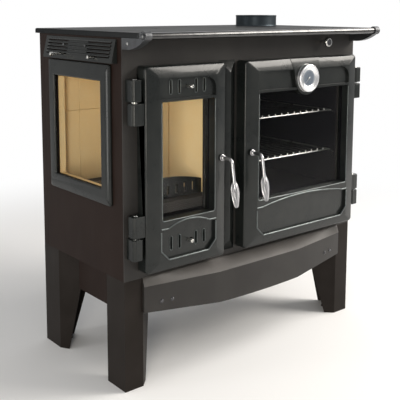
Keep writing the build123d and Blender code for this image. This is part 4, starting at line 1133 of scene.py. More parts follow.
# ------------------------------------------------------------------------------------ the casing
@dataclass
class Casing:
    """Folded sheet-steel body: front, sides, back, legs, aprons and the skirt under the doors."""

    bench: Bench
    leg_edge: float = 1.2
    sheet_edge: float = 0.8
    bolt_radius: float = 4.5
    bolt_rise: float = 3.2
    skirt_half: float = 349.0
    skirt_fold: float = 141.0
    skirt_outs: Span = (7.0, 41.0)
    skirt_top: float = 271.0
    seam_reach: Point = (0.5, 4.0, 0.3)     # slack about the skirt's top rear edge, on each axis
    ledge_drop: float = 24.0            # the sloping top ends this far down
    ledge_slope: float = 0.12           # least upward part of its faces' normals
    ledge_sheet: float = 0.8
    apron_reach: float = 5.4
    bolts_in: Span = (46.0, 74.0)
    bolt_z: float = 207.0
    foot_in: float = 26.0               # middle of a foot inside the casing's corner
    feet_apart: Span = (748.0, 334.0)
    nut_z: float = 9.2
    screw_z: float = 4.5
    thread_pitch: float = 1.7
    thread_turns: int = 9
    post_edge: float = 1.6

    def sheets(self) -> None:
        """Round the edges of every sheet that shows."""
        for node in ("front_plate", "left_side_panel", "right_side_panel", "back_panel", "base_plate"):
            self.bench.dress(node, "casing", self.sheet_edge)
        # The legs wear a darker copy of the front paint, as painted shade.
        for node in ("leg_front_left", "leg_front_right", "leg_rear_left", "leg_rear_right"):
            self.bench.dress(node, "casing", self.leg_edge, finish="leg_paint_painted_shade")

    def aprons(self) -> None:
        """The side and rear aprons, drawn out until they touch the legs' flanges."""
        bench = self.bench
        for node, along in (("side_aprons", 1), ("rear_apron", 0)):
            low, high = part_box(node)
            share = [1.0, 1.0, 1.0]
            share[along] = 1.0 + 2 * self.apron_reach * MM / (high[along] - low[along])
            piece = bench.from_node(node)
            with bench.editing(piece):
                bpy.ops.mesh.select_all(action="SELECT")
                bpy.ops.transform.resize(value=share, center_override=bench.origin)
            bench.fit(bench.soften(piece, self.sheet_edge), "casing", bench.slots[node], replaces=(node,))

    def on_seam(self, *ends: Vector) -> bool:
        """Whether an edge lies along the skirt's top, beside the casing."""
        across, out, down = self.seam_reach
        return all(abs(end.x) < self.skirt_half + across and end.y > FRONT - out
                   and end.z > self.skirt_top - down for end in ends)

    def on_ledge(self, middle: Vector, normal: Vector) -> bool:
        """Whether a face belongs to the skirt's sloping top."""
        return normal.z > self.ledge_slope and middle.z > self.skirt_top - self.ledge_drop

    def skirt(self) -> None:
        """The skirt, its sloping top closed against the casing."""
        bench = self.bench
        piece = bench.from_node("front_skirt")
        with bench.editing(piece, Pick.EDGES):
            bench.pick_edges(piece, self.on_seam)
            bpy.ops.transform.resize(value=(1.0, 0.0, 1.0), center_override=bench.at((0.0, FRONT, 0.0)))
        with bench.editing(piece):
            bench.pick_faces(piece, self.on_ledge)
            bpy.ops.mesh.quads_convert_to_tris()
        self.ledge(bench.copy(piece, "skirt_ledge"))
        bench.fit(bench.soften(piece, self.leg_edge), "casing", bench.slots["front_skirt"],
                  replaces=("front_skirt",))

    def ledge(self, piece: bpy.types.Object) -> None:
        """Make the thin cover sheet of the skirt's sloping top, in a lighter paint that is painted light
        from above.

        Args:
            piece: a copy of the skirt.
        """
        bench = self.bench
        with bench.editing(piece):
            bench.pick_faces(piece, self.on_ledge)
            bpy.ops.mesh.select_all(action="INVERT")
            bpy.ops.mesh.delete(type="FACE")
        bench.apply(piece, "SOLIDIFY", thickness=self.ledge_sheet * MM, offset=1.0)
        bench.fit(bench.soften(piece, 0.0), "casing", "front_paint", "ledge_painted_light")

    def skirt_bolts(self) -> None:
        """Four domed coach bolts with a thin washer on the skirt's slanted faces."""
        bench = self.bench
        run = self.skirt_half - self.skirt_fold
        slant = math.atan2(self.skirt_outs[1] - self.skirt_outs[0], run)
        radius = self.bolt_radius
        steps = [(-0.5, radius * 1.25), (0.4, radius * 1.25), (0.55, radius * 1.18), (0.6, radius)]
        steps += dome(0.6, self.bolt_rise, radius)
        bolts = []
        for side in Side:
            for inside in self.bolts_in:
                out = self.skirt_outs[0] + inside * math.tan(slant)
                foot = (side.value * (self.skirt_half - inside), FRONT - out, self.bolt_z)
                towards = (side.value * math.sin(slant), -math.cos(slant), 0.0)
                bolts.append(bench.turned("skirt_bolt", foot, towards, steps, 32))
        piece = bench.soften(bench.join("dome_bolts", bolts), 0.0)
        bench.fit(piece, "casing", "bright_steel", "dark_steel", ("skirt_bolts",))

    def feet(self) -> None:
        """Levelling feet: a dished pad, a lock nut and the screw."""
        bench = self.bench
        x, y = LEFT + self.foot_in, FRONT + self.foot_in
        dish = [(0.0, 11.2), (0.8, 12.0), (2.6, 12.0), (4.2, 9.0), (5.0, 6.5)]
        flats = [(0.0, 6.4), (0.5, 7.2), (4.0, 7.2), (4.5, 6.4)]
        ridges = [(0.0, 3.6)]
        for turn in range(self.thread_turns):
            start = turn * self.thread_pitch
            ridges += [(start + 0.9, 4.0), (start + 1.7, 3.4)]
        foot = bench.join("levelling_foot", [
            bench.turned("foot", (x, y, 0.0), UP, dish, 40),
            bench.turned("nut", (x, y, self.nut_z), UP, flats, 6),
            bench.turned("screw", (x, y, self.screw_z), UP, ridges, 20),
        ])
        across, deep = self.feet_apart
        places = [(across, 0.0, 0.0), (0.0, deep, 0.0), (across, deep, 0.0)]
        feet = bench.row("levelling_feet_turned", bench.soften(foot, 0.0), places)
        bench.fit(feet, "casing", "bright_steel", replaces=("levelling_feet",))

    def post(self) -> None:
        """The ridged casting between the doors."""
        self.bench.dress("centre_post", "casing", self.post_edge, 3)

    def build(self) -> None:
        """Make every piece of the casing."""
        self.sheets()
        self.aprons()
        self.skirt()
        self.skirt_bolts()
        self.feet()
        self.post()
        self.bench.coat("latch_plate")


# ------------------------------------------------------------------------------------ hob and rail
@dataclass
class Hob:
    """Ground steel top with its lid, the flue collar and the polished rail in front."""

    bench: Bench
    flue: Span = (300.0, 110.0)
    bore: float = 60.5
    wall: float = 1.8
    top: float = 850.0
    rise: float = 32.0
    collar_foot: float = 837.5
    flange_z: Span = (834.5, 837.3)
    flange_radius: float = 75.0
    rail_end: float = 383.0
    rail_y: float = -275.0
    rail_z: float = 843.0
    rail_radius: float = 8.0
    cap_x: float = 401.0
    cap_radius: float = 7.0
    cap_rise: float = 6.3
    plate_edge: float = 1.4
    lid_edge: float = 0.8
    bracket_edge: float = 1.6
    screw_yz: Span = (-214.0, 825.0)    # screws in the brackets' outer faces
    bracket_x: float = 402.0
    screw_x: float = 398.4

    def plates(self) -> None:
        """Round the hob's and the lid's edges."""
        self.bench.dress("hob_plate", "casing", self.plate_edge, 3)
        self.bench.dress("hob_lid", "hob_lid", self.lid_edge)

    def collar(self) -> None:
        """A short pipe collar with a rolled upper rim and a weld bead at its foot."""
        bench = self.bench
        outer, inner = self.bore + self.wall, self.bore
        foot, hob, height = self.collar_foot, self.top, self.top + self.rise
        weld = [(hob - 0.2, outer), (hob, outer + 1.6), (hob + 1.4, outer + 1.5), (hob + 2.6, outer + 0.6),
                (hob + 3.4, outer)]
        rolled = [(height - 5.0, outer), (height - 3.2, outer + 0.7), (height - 1.6, outer + 0.9),
                  (height - 0.5, outer + 0.5), (height, outer - 0.7), (height, inner + 0.4),
                  (height - 0.6, inner)]
        steps = [(foot, outer), *weld, *rolled, (foot + 1.0, inner)]
        middle = (*self.flue, 0.0)

        def at_end(face: Vector, normal: Vector) -> bool:
            """Whether a face closes an end of the blank, across the axis."""
            return abs(normal.z) > 0.99 and (face.xy - Vector(self.flue)).length < 1.0

        ring = bench.turned("collar_ring", middle, UP, steps, 96)
        with bench.editing(ring):
            bench.pick_faces(ring, at_end)
            bpy.ops.mesh.bridge_edge_loops()
        bench.outward(ring)
        low, high = self.flange_z
        rim = [(low, self.flange_radius), (high, self.flange_radius)]
        flange = bench.turned("collar_flange", middle, UP, rim, 96)
        bore = bench.turned("collar_bore", middle, UP, [(low - 4.5, inner), (high + 2.7, inner)], 96)
        bench.cut(flange, bore)
        collar = bench.soften(bench.join("flue_collar_turned", [ring, flange]), 0.0)
        bench.fit(collar, "casing", "hob_steel", "flue_steel", ("flue_collar",))

    def rail(self) -> None:
        """Polished rail with domed caps outside its brackets."""
        bench = self.bench
        end, radius = self.rail_end, self.rail_radius
        steps = [(0.0, radius - 0.6), (0.6, radius), (2 * end - 0.6, radius), (2 * end, radius - 0.6)]
        rail = bench.turned("rail", (-end, self.rail_y, self.rail_z), (1, 0, 0), steps, 64)
        # The rail's steel is near black, a painted dark reflection.
        bench.fit(bench.soften(rail, 0.0), "casing", "polished_steel", replaces=("towel_rail",))
        steps = [(0.0, self.cap_radius), (0.6, self.cap_radius)]
        steps += dome(0.6, self.cap_rise, self.cap_radius, 18, 8)
        caps = [bench.turned("cap", (side.value * self.cap_x, self.rail_y, self.rail_z), (side.value, 0, 0),
                             steps, 48) for side in Side]
        bench.fit(bench.soften(bench.join("rail_caps_domed", caps), 0.0), "casing", "polished_steel",
                  "bracket_metal", ("rail_end_caps",))

    def brackets(self) -> None:
        """Cast rail brackets with rounded edges and a countersunk screw on each outer face."""
        bench = self.bench
        piece = bench.from_node("rail_brackets")
        hollow = [(0.0, 4.6), (1.6, 4.6), (3.0, 3.2)]
        disc = [(0.0, 3.9), (1.3, 3.9), (1.9, 3.2)]
        for side in Side:
            outside = (side.value * self.bracket_x, *self.screw_yz)
            bench.cut(piece, bench.turned("sink", outside, (-side.value, 0, 0), hollow, 32))
        bench.fit(bench.soften(piece, self.bracket_edge, 3), "casing", "bracket_metal",
                  replaces=("rail_brackets",))
        heads = [bench.turned("head", (side.value * self.screw_x, *self.screw_yz), (side.value, 0, 0),
                              disc, 32) for side in Side]
        bench.fit(bench.soften(bench.join("bracket_screws", heads), 0.3), "casing", "bright_steel")

    def build(self) -> None:
        """Make the hob's pieces."""
        self.plates()
        self.collar()
        self.rail()
        self.brackets()


# ---------------------------------------------------------------------------- side window, grille
@dataclass
class SideWindow:
    """Cast window frame on the left side, the louvred grille over it and the two air pulls."""

    bench: Bench
    pulls: tuple[Point, ...] = ((-88.0, 790.0, 28.0), (52.0, 792.0, 48.0))     # y, z, head's way out
    valve: Span = (54.0, 57.0)          # the valve disc's two faces, inward from the head
    valve_radius: float = 13.0
    frame_edge: float = 2.0
    grille_edge: float = 0.7
    grille_y: Span = (-173.0, 147.0)
    grille_z: Span = (779.0, 833.0)
    grille_foot: float = 4.0            # its face starts to slant this far up
    grille_out: Span = (15.0, 3.0)
    louvres: int = 5
    louvre_first: float = 14.5
    louvre_pitch: float = 8.0
    louvre_length: float = 101.0
    plain: float = 90.0
    hood_out: float = 2.2
    hood_z: Span = (-0.6, 1.2)
    hood_lean: float = 2.0
    hood_edge: float = 0.45
    screws: tuple[Span, ...] = ((52.0, 814.0), (-50.0, 814.0))

    def frame(self) -> None:
        """The cast frame and its pane."""
        self.bench.dress("side_window_frame", "casing", self.frame_edge, 3)
        self.bench.coat("side_window_glass")

    def face_out(self, z: float) -> float:
        """How far the grille's slanted face stands out.

        Args:
            z: the height.

        Returns:
            The distance from the casing's side.
        """
        foot = self.grille_z[0] + self.grille_foot
        share = (z - foot) / (self.grille_z[1] - foot)
        return self.grille_out[0] + (self.grille_out[1] - self.grille_out[0]) * share

    def grille(self) -> None:
        """The grille with a pressed rib over each row of slots and two small screws."""
        bench = self.bench
        bench.dress("side_grille", "casing", self.grille_edge)
        middle = sum(self.grille_y) / 2
        reach = self.plain / 2 + self.louvre_length
        hoods = []
        for row in range(self.louvres):
            z = self.grille_z[0] + self.louvre_first + row * self.louvre_pitch
            x = LEFT - self.face_out(z)
            low, high = self.hood_z
            hood = bench.block("hood", (x - self.hood_out, x + 0.6), (middle - reach, middle + reach),
                               (z + low, z + high))
            with bench.editing(hood, Pick.EDGES):
                bench.pick_edges(hood, lambda a, b: min(a.x, b.x) > x and min(a.z, b.z) > z)
                bpy.ops.transform.translate(value=(0.0, 0.0, self.hood_lean * MM))
            hoods.append(bench.soften(hood, self.hood_edge))
        bench.fit(bench.join("grille_louvres", hoods), "casing", "cast_iron")
        head = [(-0.6, 3.4), (0.9, 3.4), (1.8, 3.0), (2.5, 2.2), (2.9, 1.2), (3.0, 0.4)]
        heads = [bench.turned("screw", (LEFT - self.face_out(z) - 1.2, y, z), (-1, 0, -0.24), head, 32)
                 for y, z in self.screws]
        bench.fit(bench.soften(bench.join("grille_screws", heads), 0.0), "casing", "bracket_metal")

    def air_pulls(self) -> None:
        """Bright air pulls: a slim pin with a rounded head, the valve disc behind."""
        bench = self.bench
        knob = [(0.0, 1.4), (0.2, 2.6), (0.8, 3.7), (1.8, 4.2), (9.4, 4.2), (10.4, 3.8), (11.2, 3.0)]
        near, far = self.valve
        stem = [(near, 3.0), (near, self.valve_radius), (far, self.valve_radius)]
        for body, (y, z, out) in zip(("air_pull_front", "air_pull_rear"), self.pulls):
            piece = bench.turned(body, (LEFT - out, y, z), (1, 0, 0), knob + stem, 48)
            bench.fit(bench.soften(piece, 0.0), body, "bright_steel", replaces=(body,))

    def build(self) -> None:
        """Make the window's pieces."""
        self.frame()
        self.grille()
        self.air_pulls()


# -------------------------------------------------------------------------------------- firebox
@dataclass
class Firebox:
    """Fire boards, grate, log guard, ash box and pan."""

    bench: Bench
    board_edge: float = 1.2
    right_face: float = -140.0
    right_joint: Span = (-22.0, -19.5)
    joint_depth: float = 4.0
    lining_z: Span = (440.0, 735.0)
    grate_edge: float = 1.2
    guard_edge: float = 1.6
    sheet_edge: float = 0.5

    def boards(self) -> None:
        """Boards with broken edges; the right wall is two boards that meet in an upright joint."""
        bench = self.bench
        for node in ("left_lining", "rear_lining", "baffle_board"):
            bench.dress(node, "casing", self.board_edge)
        wall = bench.from_node("right_lining")
        joint = bench.block("joint", (self.right_face - 1.0, self.right_face + self.joint_depth),
                            self.right_joint, (self.lining_z[0] - 1.0, self.lining_z[1] + 1.0))
        wall = bench.soften(bench.cut(wall, joint), self.board_edge)
        bench.fit(wall, "casing", "lining_board", replaces=("right_lining",))
        # The floor's board is drawn near black, darker than the walls.
        floor = bench.soften(bench.from_node("firebox_floor"), self.board_edge)
        bench.fit(floor, "casing", "lining_board", "dark_floor_board", ("firebox_floor",))

    def castings(self) -> None:
        """Grate and log guard."""
        self.bench.dress("grate", "casing", self.grate_edge)
        self.bench.dress("log_guard", "casing", self.guard_edge, 3)

    def ash(self) -> None:
        """Ash box and pan."""
        self.bench.dress("ash_box", "casing", self.sheet_edge)
        self.bench.dress("ash_pan", "ash_pan", self.sheet_edge)

    def build(self) -> None:
        """Make the firebox's pieces."""
        self.boards()
        self.castings()
        self.ash()


# -------------------------------------------------------------------------------------- the oven
@dataclass
class OvenInside:
    """The enamelled oven box, its two wire racks and the smoke path behind it."""

    bench: Bench
    box_edge: float = 0.6
    rack_z: Span = (498.04, 612.94)
    rack_x: Span = (-14.2, 330.2)
    rack_y: Span = (-175.0, 125.0)
    bar: float = 2.3
    cross: float = 2.5
    wire: float = 1.9
    wires: int = 13
    bump: float = 4.6

    def box(self) -> None:
        """The oven box and the plates behind the casing."""
        self.bench.dress("oven_box", "casing", self.box_edge)
        self.bench.coat("smoke_divider")

    def rack(self, node: str, z: float) -> None:
        """One rack: round side and cross bars, wires over them with upright front ends.

        Args:
            node: the CAD rack that it stands for.
            z: height of its bars.
        """
        bench = self.bench
        (x0, x1), (y0, y1) = self.rack_x, self.rack_y
        front, back = y0 + 2 * self.bar, y1 - 2 * self.bar
        bars = [bench.rod("side", [(x, y0, z), (x, y1, z)], self.bar) for x in self.rack_x]
        bars.append(bench.rod("cross", [(x0, front, z), (x1, front, z)], self.bar))
        pitch = (x1 - x0) / (self.wires + 1)
        shifts = [(pitch * index, 0.0, 0.0) for index in range(1, self.wires)]
        stub = [(0.0, self.bar), (self.bump, self.bar), (self.bump + 1.2, 1.8), (self.bump + 1.8, 0.7)]
        end = bench.turned("end", (x0 + pitch, front, z + 1.0), UP, stub, 20)
        bars.append(bench.row("ends", end, shifts))
        rack = bench.soften(bench.join(f"{node}_frame", bars), 0.0)
        bench.fit(rack, node, "rack_wire", replaces=(node,))
        first, over = x0 + pitch, z + self.bar - 0.6
        wires = [bench.rod("cross", [(x0, y, z), (x1, y, z)], self.cross) for y in ((y0 + y1) / 2, back)]
        wire = bench.rod("wire", [(first, front, over), (first, y1 - 0.4, over)], self.wire, 0.0, 5)
        wires.append(bench.row("wires", wire, shifts))
        # The wires and the rear cross bars wear the darker copy of the rack steel: painted shade inside the
        # oven.
        bench.fit(bench.soften(bench.join(f"{node}_wires", wires), 0.0), node, "rack_wire", "rack_wire_painted_shade")

    def build(self) -> None:
        """Make the oven's pieces."""
        self.box()
        for node, z in zip(("oven_rack_lower", "oven_rack_upper"), self.rack_z):
            self.rack(node, z)


# ------------------------------------------------------------------------------------- the doors
@dataclass
class CastDoor:
    """A cast door with its raised beads, pane, rope seal and glass retainer."""

    bench: Bench
    name: str
    x: float
    half: float
    boss: Point | None = None           # Y of its face, height of its fold, how far its top leans back
    rim_y: float = FRONT - 34.0
    rim: float = 4.5
    edge: float = 2.2
    bead: float = 1.9
    sill_bead: float = 1.3
    bead_gap: float = 3.6
    panel_out: float = 9.0              # the lower panel's frame stands this far before the rim
    foot: float = 318.0
    shoulder: float = 389.0
    arch: float = 13.0
    clip: float = 22.0
    window: Span = (411.5, 691.5)
    seal_edge: float = 0.7
    retainer_edge: float = 0.3

    def casting(self) -> None:
        """The casting: a well-rounded outer rim, and all other corners as sand casting leaves them."""
        bench = self.bench
        node = f"{self.name}_door"
        piece = bench.from_node(node)
        with bench.editing(piece, Pick.EDGES):
            bench.pick_edges(piece, lambda a, b: max(abs(a.y - self.rim_y), abs(b.y - self.rim_y)) < NEAR)
            bpy.ops.mesh.bevel(offset=self.rim * MM, segments=4)
        if self.boss:
            self.lean_boss(piece, *self.boss)
        bench.fit(bench.soften(piece, self.edge, 3), node, bench.slots[node], replaces=(node,))

    def lean_boss(self, piece: bpy.types.Object, face: float, fold: float, back: float) -> None:
        """Lean the top of the thermometer's boss back, along the door's upper bevel.

        Args:
            piece: the door's casting.
            face: Y of the boss's face.
            fold: height at which its top begins to lean.
            back: how far the upper edge goes back.
        """
        bench = self.bench
        with bench.editing(piece):
            bench.pick_faces(piece, lambda middle, normal: middle.y < face + NEAR and normal.y < -0.99)
            bpy.ops.mesh.bisect(plane_co=bench.at((0.0, 0.0, fold)), plane_no=UP)
        with bench.editing(piece, Pick.EDGES):
            bench.pick_edges(piece, lambda a, b: min(a.z, b.z) > fold + 1.0 and max(a.y, b.y) < face + NEAR)
            bpy.ops.transform.translate(value=(0.0, back * MM, 0.0))

    def beads(self) -> None:
        """Raised beads: over the lower panel's arch, round the panel's lower edge and under the window;
        their brighter metal is a painted highlight along these edges.
        """
        bench = self.bench
        flank = self.half - self.clip
        radius = (flank ** 2 + self.arch ** 2) / (2 * self.arch)
        top, face = self.shoulder + self.bead_gap, self.rim_y - self.panel_out
        over = [(-self.half - 1.0, top), (-flank - 2.0, top)]
        for step in range(-6, 7):
            across = flank * step / 6
            over.append((across, top + 1.2 + math.sqrt(radius ** 2 - across ** 2) - (radius - self.arch)))
        over += [(flank + 2.0, top), (self.half + 1.0, top)]
        half, foot, corner = self.half + 1.0, self.foot - 1.0, self.foot + self.clip
        start = self.shoulder - 3.0
        under = [(-half, start), (-half, corner), (-flank, foot), (flank, foot), (half, corner),
                 (half, start)]
        pane, (sill, head) = self.half - 2.0, self.window
        sides = [(-pane, head - 4.0), (-pane, sill), (pane, sill), (pane, head - 4.0)]
        routes = {"arch": (over, self.bead), "panel": (under, self.bead), "sill": (sides, self.sill_bead)}
        for name, (route, thick) in routes.items():
            points = [(self.x + across, face, up) for across, up in route]
            bead = bench.rod(f"{self.name}_door_{name}_bead", points, thick, 6.0, 5)
            bench.fit(bench.soften(bead, 0.0), f"{self.name}_door", "cast_iron", "bead_painted_highlight")

    def fittings(self) -> None:
        """Rope seal, glass retainer and pane."""
        self.bench.dress(f"{self.name}_door_gasket", f"{self.name}_door", self.seal_edge)
        self.bench.dress(f"{self.name}_glass_retainer", f"{self.name}_door", self.retainer_edge)
        self.bench.coat(f"{self.name}_door_glass")

    def build(self) -> None:
        """Make the door's pieces."""
        self.casting()
        self.beads()
        self.fittings()


@dataclass
class AirSlider:
    """A sliding damper plate behind the slots, with its bright pin, and the rims round the slots."""

    bench: Bench
    node: str
    z: float
    x: float = FIREBOX_X
    recess_y: float = -229.0
    slots: tuple[float, ...] = (-50.0, -25.0, 25.0, 50.0)
    slot: Span = (6.0, 32.0)
    rim: float = 1.5
    rim_rise: float = 1.5
    rim_edge: float = 0.7
    plate_edge: float = 0.5
    pin_out: float = 21.0

    def rounded(self, name: str, x: float, size: Span, ys: Span) -> bpy.types.Object:
        """An upright bar with fully rounded ends.

        Args:
            name: the piece's name.
            x: its middle.
            size: width and height.
            ys: front and back.

        Returns:
            The bar.
        """
        bench = self.bench
        wide, high = size[0] / 2, size[1] / 2
        bar = bench.block(name, (x - wide, x + wide), ys, (self.z - high, self.z + high))
        with bench.editing(bar, Pick.EDGES):
            bench.pick_edges(bar, lambda a, b: abs(a.y - b.y) > 1.0)
            bpy.ops.mesh.bevel(offset=(wide - 0.05) * MM, segments=8)
        return bar

    def rims(self) -> None:
        """A raised rim round each slot of the door, in a brighter metal that paints a highlight round the
        slot.
        """
        bench = self.bench
        width, height = self.slot
        rims = []
        for shift in self.slots:
            x = self.x + shift
            rim = self.rounded("rim", x, (width + 2 * self.rim, height + 2 * self.rim),
                               (self.recess_y - self.rim_rise, self.recess_y + 0.6))
            inner = self.rounded("slot", x, (width, height), (self.recess_y - 8.0, self.recess_y + 8.0))
            rims.append(bench.soften(bench.cut(rim, inner), self.rim_edge, 3))
        bench.fit(bench.join(f"{self.node}_slot_rims", rims), "firebox_door", "cast_iron", "bead_painted_highlight")

    def slider(self) -> None:
        """The plate with its slots, and the pin with a domed, grooved head."""
        bench = self.bench
        bench.dress(self.node, self.node, self.plate_edge)
        foot = self.recess_y - self.pin_out
        head = [(0.0, 1.6), (0.25, 3.0), (0.9, 4.1), (1.8, 4.75), (3.2, 4.9), (4.2, 4.75), (4.6, 4.3),
                (5.0, 4.3), (5.4, 4.75), (9.6, 4.75), (10.4, 4.3)]
        pin = bench.turned(f"{self.node}_pin_head", (self.x, foot, self.z), (0, 1, 0), head, 40)
        bench.fit(bench.soften(pin, 0.0), self.node, "bright_steel")

    def build(self) -> None:
        """Make the slider's pieces."""
        self.rims()
        self.slider()


@dataclass
class Handle:
    """A door handle: hub, bent rod, and a fluted, twisted spindle grip."""

    bench: Bench
    door: str
    x: float
    z: float = 541.0
    hub_y: float = -236.3
    bend_y: float = -271.0
    lean: float = 1 / 6
    drops: Span = (54.0, 115.0)
    rod: float = 4.5
    bend: float = 12.0
    ribs: int = 10
    twist: float = 75.0
    rings: int = 36
    flute: float = 0.3
    shaft_y: Span = (-182.0, -236.3)    # the shaft through the door, from the latch to the hub
    shaft: float = 5.0
    latch: Point = (9.0, 4.0, 16.0)     # the latch's width, thickness and drop
    profile: tuple[Span, ...] = (
        (0.0, 5.0), (0.04, 6.0), (0.09, 7.8), (0.16, 9.6), (0.24, 10.4), (0.42, 10.5),
        (0.58, 9.7), (0.74, 8.0), (0.88, 6.2), (0.95, 5.2), (0.98, 4.4), (1.0, 3.0))

    def axis(self, drop: float) -> Point:
        """The point of the leaning axis this far below the hub."""
        return (self.x, self.bend_y - self.lean * drop, self.z - drop)

    def rod_piece(self) -> None:
        """Hub with a groove and rounded nose, bent rod, and the shaft with its latch."""
        bench = self.bench
        body = f"{self.door}_handle"
        grooved = [(0.0, 7.6), (0.5, 8.0), (1.6, 8.0), (2.2, 6.6), (3.0, 6.2), (3.6, 6.8), (6.2, 6.6),
                   (7.4, 5.8), (8.0, 4.8)]
        hub = bench.turned("hub", (self.x, self.hub_y, self.z), FORWARD, grooved, 48)
        runs = [(self.x, self.hub_y - 4.0, self.z), self.axis(0.0), self.axis(self.drops[0] + 1)]
        rod = bench.rod("rod", runs, self.rod, self.bend, 8)
        inside, outside = self.shaft_y
        shaft = bench.turned("shaft", (self.x, inside, self.z), FORWARD,
                             [(0.0, self.shaft), (inside - outside, self.shaft)], 40)
        width, thick, drop = self.latch
        latch = bench.block("latch", (self.x - width / 2, self.x + width / 2), (inside - thick, inside),
                            (self.z - drop, self.z))
        parts = [bench.soften(part, 0.4) for part in (latch, hub, rod, shaft)]
        piece = bench.join(f"{body}_rod_bent", parts)
        bench.fit(piece, body, "nickel", replaces=(f"{body}_rod",))

    def grip(self) -> None:
        """The grip, twisted ring by ring along its leaning axis."""
        bench = self.bench
        body = f"{self.door}_handle"
        top, end = Vector(self.axis(self.drops[0])), Vector(self.axis(self.drops[1]))
        length = (end - top).length
        steps = []
        for ring in range(self.rings + 1):
            share = ring / self.rings
            for (low, radius_low), (high, radius_high) in zip(self.profile, self.profile[1:]):
                if low <= share <= high:
                    blend = (share - low) / (high - low)
                    steps.append((share * length, radius_low + (radius_high - radius_low) * blend))
                    break
        grip = bench.turned("grip", tuple(top), tuple(end - top), steps, self.ribs * 8,
                            self.twist / self.rings, (self.ribs, self.flute))
        neck = bench.turned("neck", tuple(top), tuple(end - top),
                            [(-1.4, 5.0), (-0.8, 5.9), (1.4, 5.9), (2.2, 5.2)], 40)
        piece = bench.join(f"{body}_grip_twisted", [grip, neck])
        bench.fit(bench.soften(piece, 0.0), body, "nickel", replaces=(f"{body}_grip",))

    def build(self) -> None:
        """Make the handle's pieces."""
        self.rod_piece()
        self.grip()


@dataclass
class Thermometer:
    """The oven thermometer: polished bezel, domed crystal, printed dial, tapered needle."""

    bench: Bench
    x: float = OVEN_X
    z: float = DIAL_Z
    face_y: float = -238.0
    bezel_out: float = 12.0
    lip: float = 5.4
    radius: float = 38.0
    dial: float = 20.2
    dial_y: float = -244.0
    ticks: int = 25
    sweep: Span = (-135.0, 135.0)
    numbers: tuple[str, ...] = ("0", "100", "200", "300", "400", "500")
    number_size: float = 4.0
    number_in: float = 8.4

    def bezel(self) -> None:
        """A stepped ring with a rolled lip."""
        bench, radius = self.bench, self.radius
        steps = [(-8.0, radius - 0.6), (0.0, radius), (2.0, radius), (2.6, radius - 0.8),
                 (3.4, radius - 0.8), (4.0, radius - 0.1)]
        middle = radius - self.lip
        arc = dome(6.0, self.bezel_out - 6.0, self.lip, 16, 12)
        steps += [(out, middle + inward) for out, inward in arc]
        steps += [(7.6, self.dial + 4.4), (6.8, self.dial + 0.6), (6.2, self.dial), (5.5, self.dial)]
        ring = bench.turned("thermometer_bezel", (self.x, self.face_y, self.z), FORWARD, steps, 96)
        bench.fit(bench.soften(ring, 0.0), "oven_door", "polished_steel", "bezel_chrome",
                  ("thermometer_case",))

    def marks(self) -> None:
        """Scale ticks and numbers, raised like thick print."""
        bench = self.bench
        centre, top = (self.x, 0.0, self.z), self.dial_y - 0.05
        first, last = self.sweep
        parts = []
        for index in range(self.ticks):
            length, half = (5.2, 0.55) if index % 5 == 0 else (3.6, 0.28)
            inner = self.dial - length
            tick = bench.block("tick", (self.x - half, self.x + half), (top - 0.12, top + 0.08),
                               (self.z + inner, self.z + self.dial - 1.0))
            turn = first + (last - first) * index / (self.ticks - 1)
            parts.append(bench.swing(tick, centre, (0, 1, 0), turn))
        for index, number in enumerate(self.numbers):
            angle = math.radians(first + (last - first) * index / (len(self.numbers) - 1))
            reach = self.dial - self.number_in
            spot = bench.at((self.x + reach * math.sin(angle), top, self.z + reach * math.cos(angle) - 1.5))
            bpy.ops.object.text_add(location=spot, rotation=(math.pi / 2, 0.0, 0.0))
            text = bpy.context.active_object
            text.data.body = number
            text.data.size = self.number_size * MM
            text.data.align_x = "CENTER"
            text.data.extrude = 0.1 * MM
            bench.select(text)
            bpy.ops.object.convert(target="MESH")
            parts.append(bench.settle(bpy.context.active_object))
        bench.fit(bench.join("thermometer_scale", parts), "oven_door", "dial_face", "dial_marks")

    def needle(self) -> None:
        """A tapered needle under a small turned cap."""
        bench = self.bench
        back, front = self.dial_y - 1.3, self.dial_y - 2.3
        blade = bench.block("blade", (self.x - 1.3, self.x + 1.3), (front, back),
                            (self.z - 0.25 * self.dial, self.z + 0.84 * self.dial))
        with bench.editing(blade, Pick.POINTS):
            bench.pick_faces(blade, lambda middle, normal: normal.z > 0.9)
            centre = bench.at((self.x, back, self.z))
            bpy.ops.transform.resize(value=(0.25, 1.0, 1.0), center_override=centre)
        bench.swing(blade, (self.x, 0.0, self.z), (0, 1, 0), self.sweep[0])
        button = [(0.0, 3.2), (1.0, 3.2), (1.8, 2.8), (2.3, 1.8), (2.4, 0.5)]
        cap = bench.turned("cap", (self.x, back, self.z), FORWARD, button, 32)
        piece = bench.soften(bench.join("needle_tapered", [blade, cap]), 0.0)
        bench.fit(piece, "thermometer_needle", "needle_paint", replaces=("thermometer_needle",))

    def crystal(self) -> None:
        """The domed glass over the dial."""
        bench = self.bench
        edge = self.dial + 1.6
        steps = [(6.9, edge), (7.4, edge), *dome(7.4, 2.4, edge)]
        crystal = bench.turned("thermometer_crystal", (self.x, self.face_y, self.z), FORWARD, steps, 72)
        bench.fit(bench.soften(crystal, 0.0), "oven_door", "glass")

    def build(self) -> None:
        """Make the thermometer's pieces."""
        self.bezel()
        self.bench.coat("thermometer_dial")
        self.marks()
        self.needle()
        self.crystal()


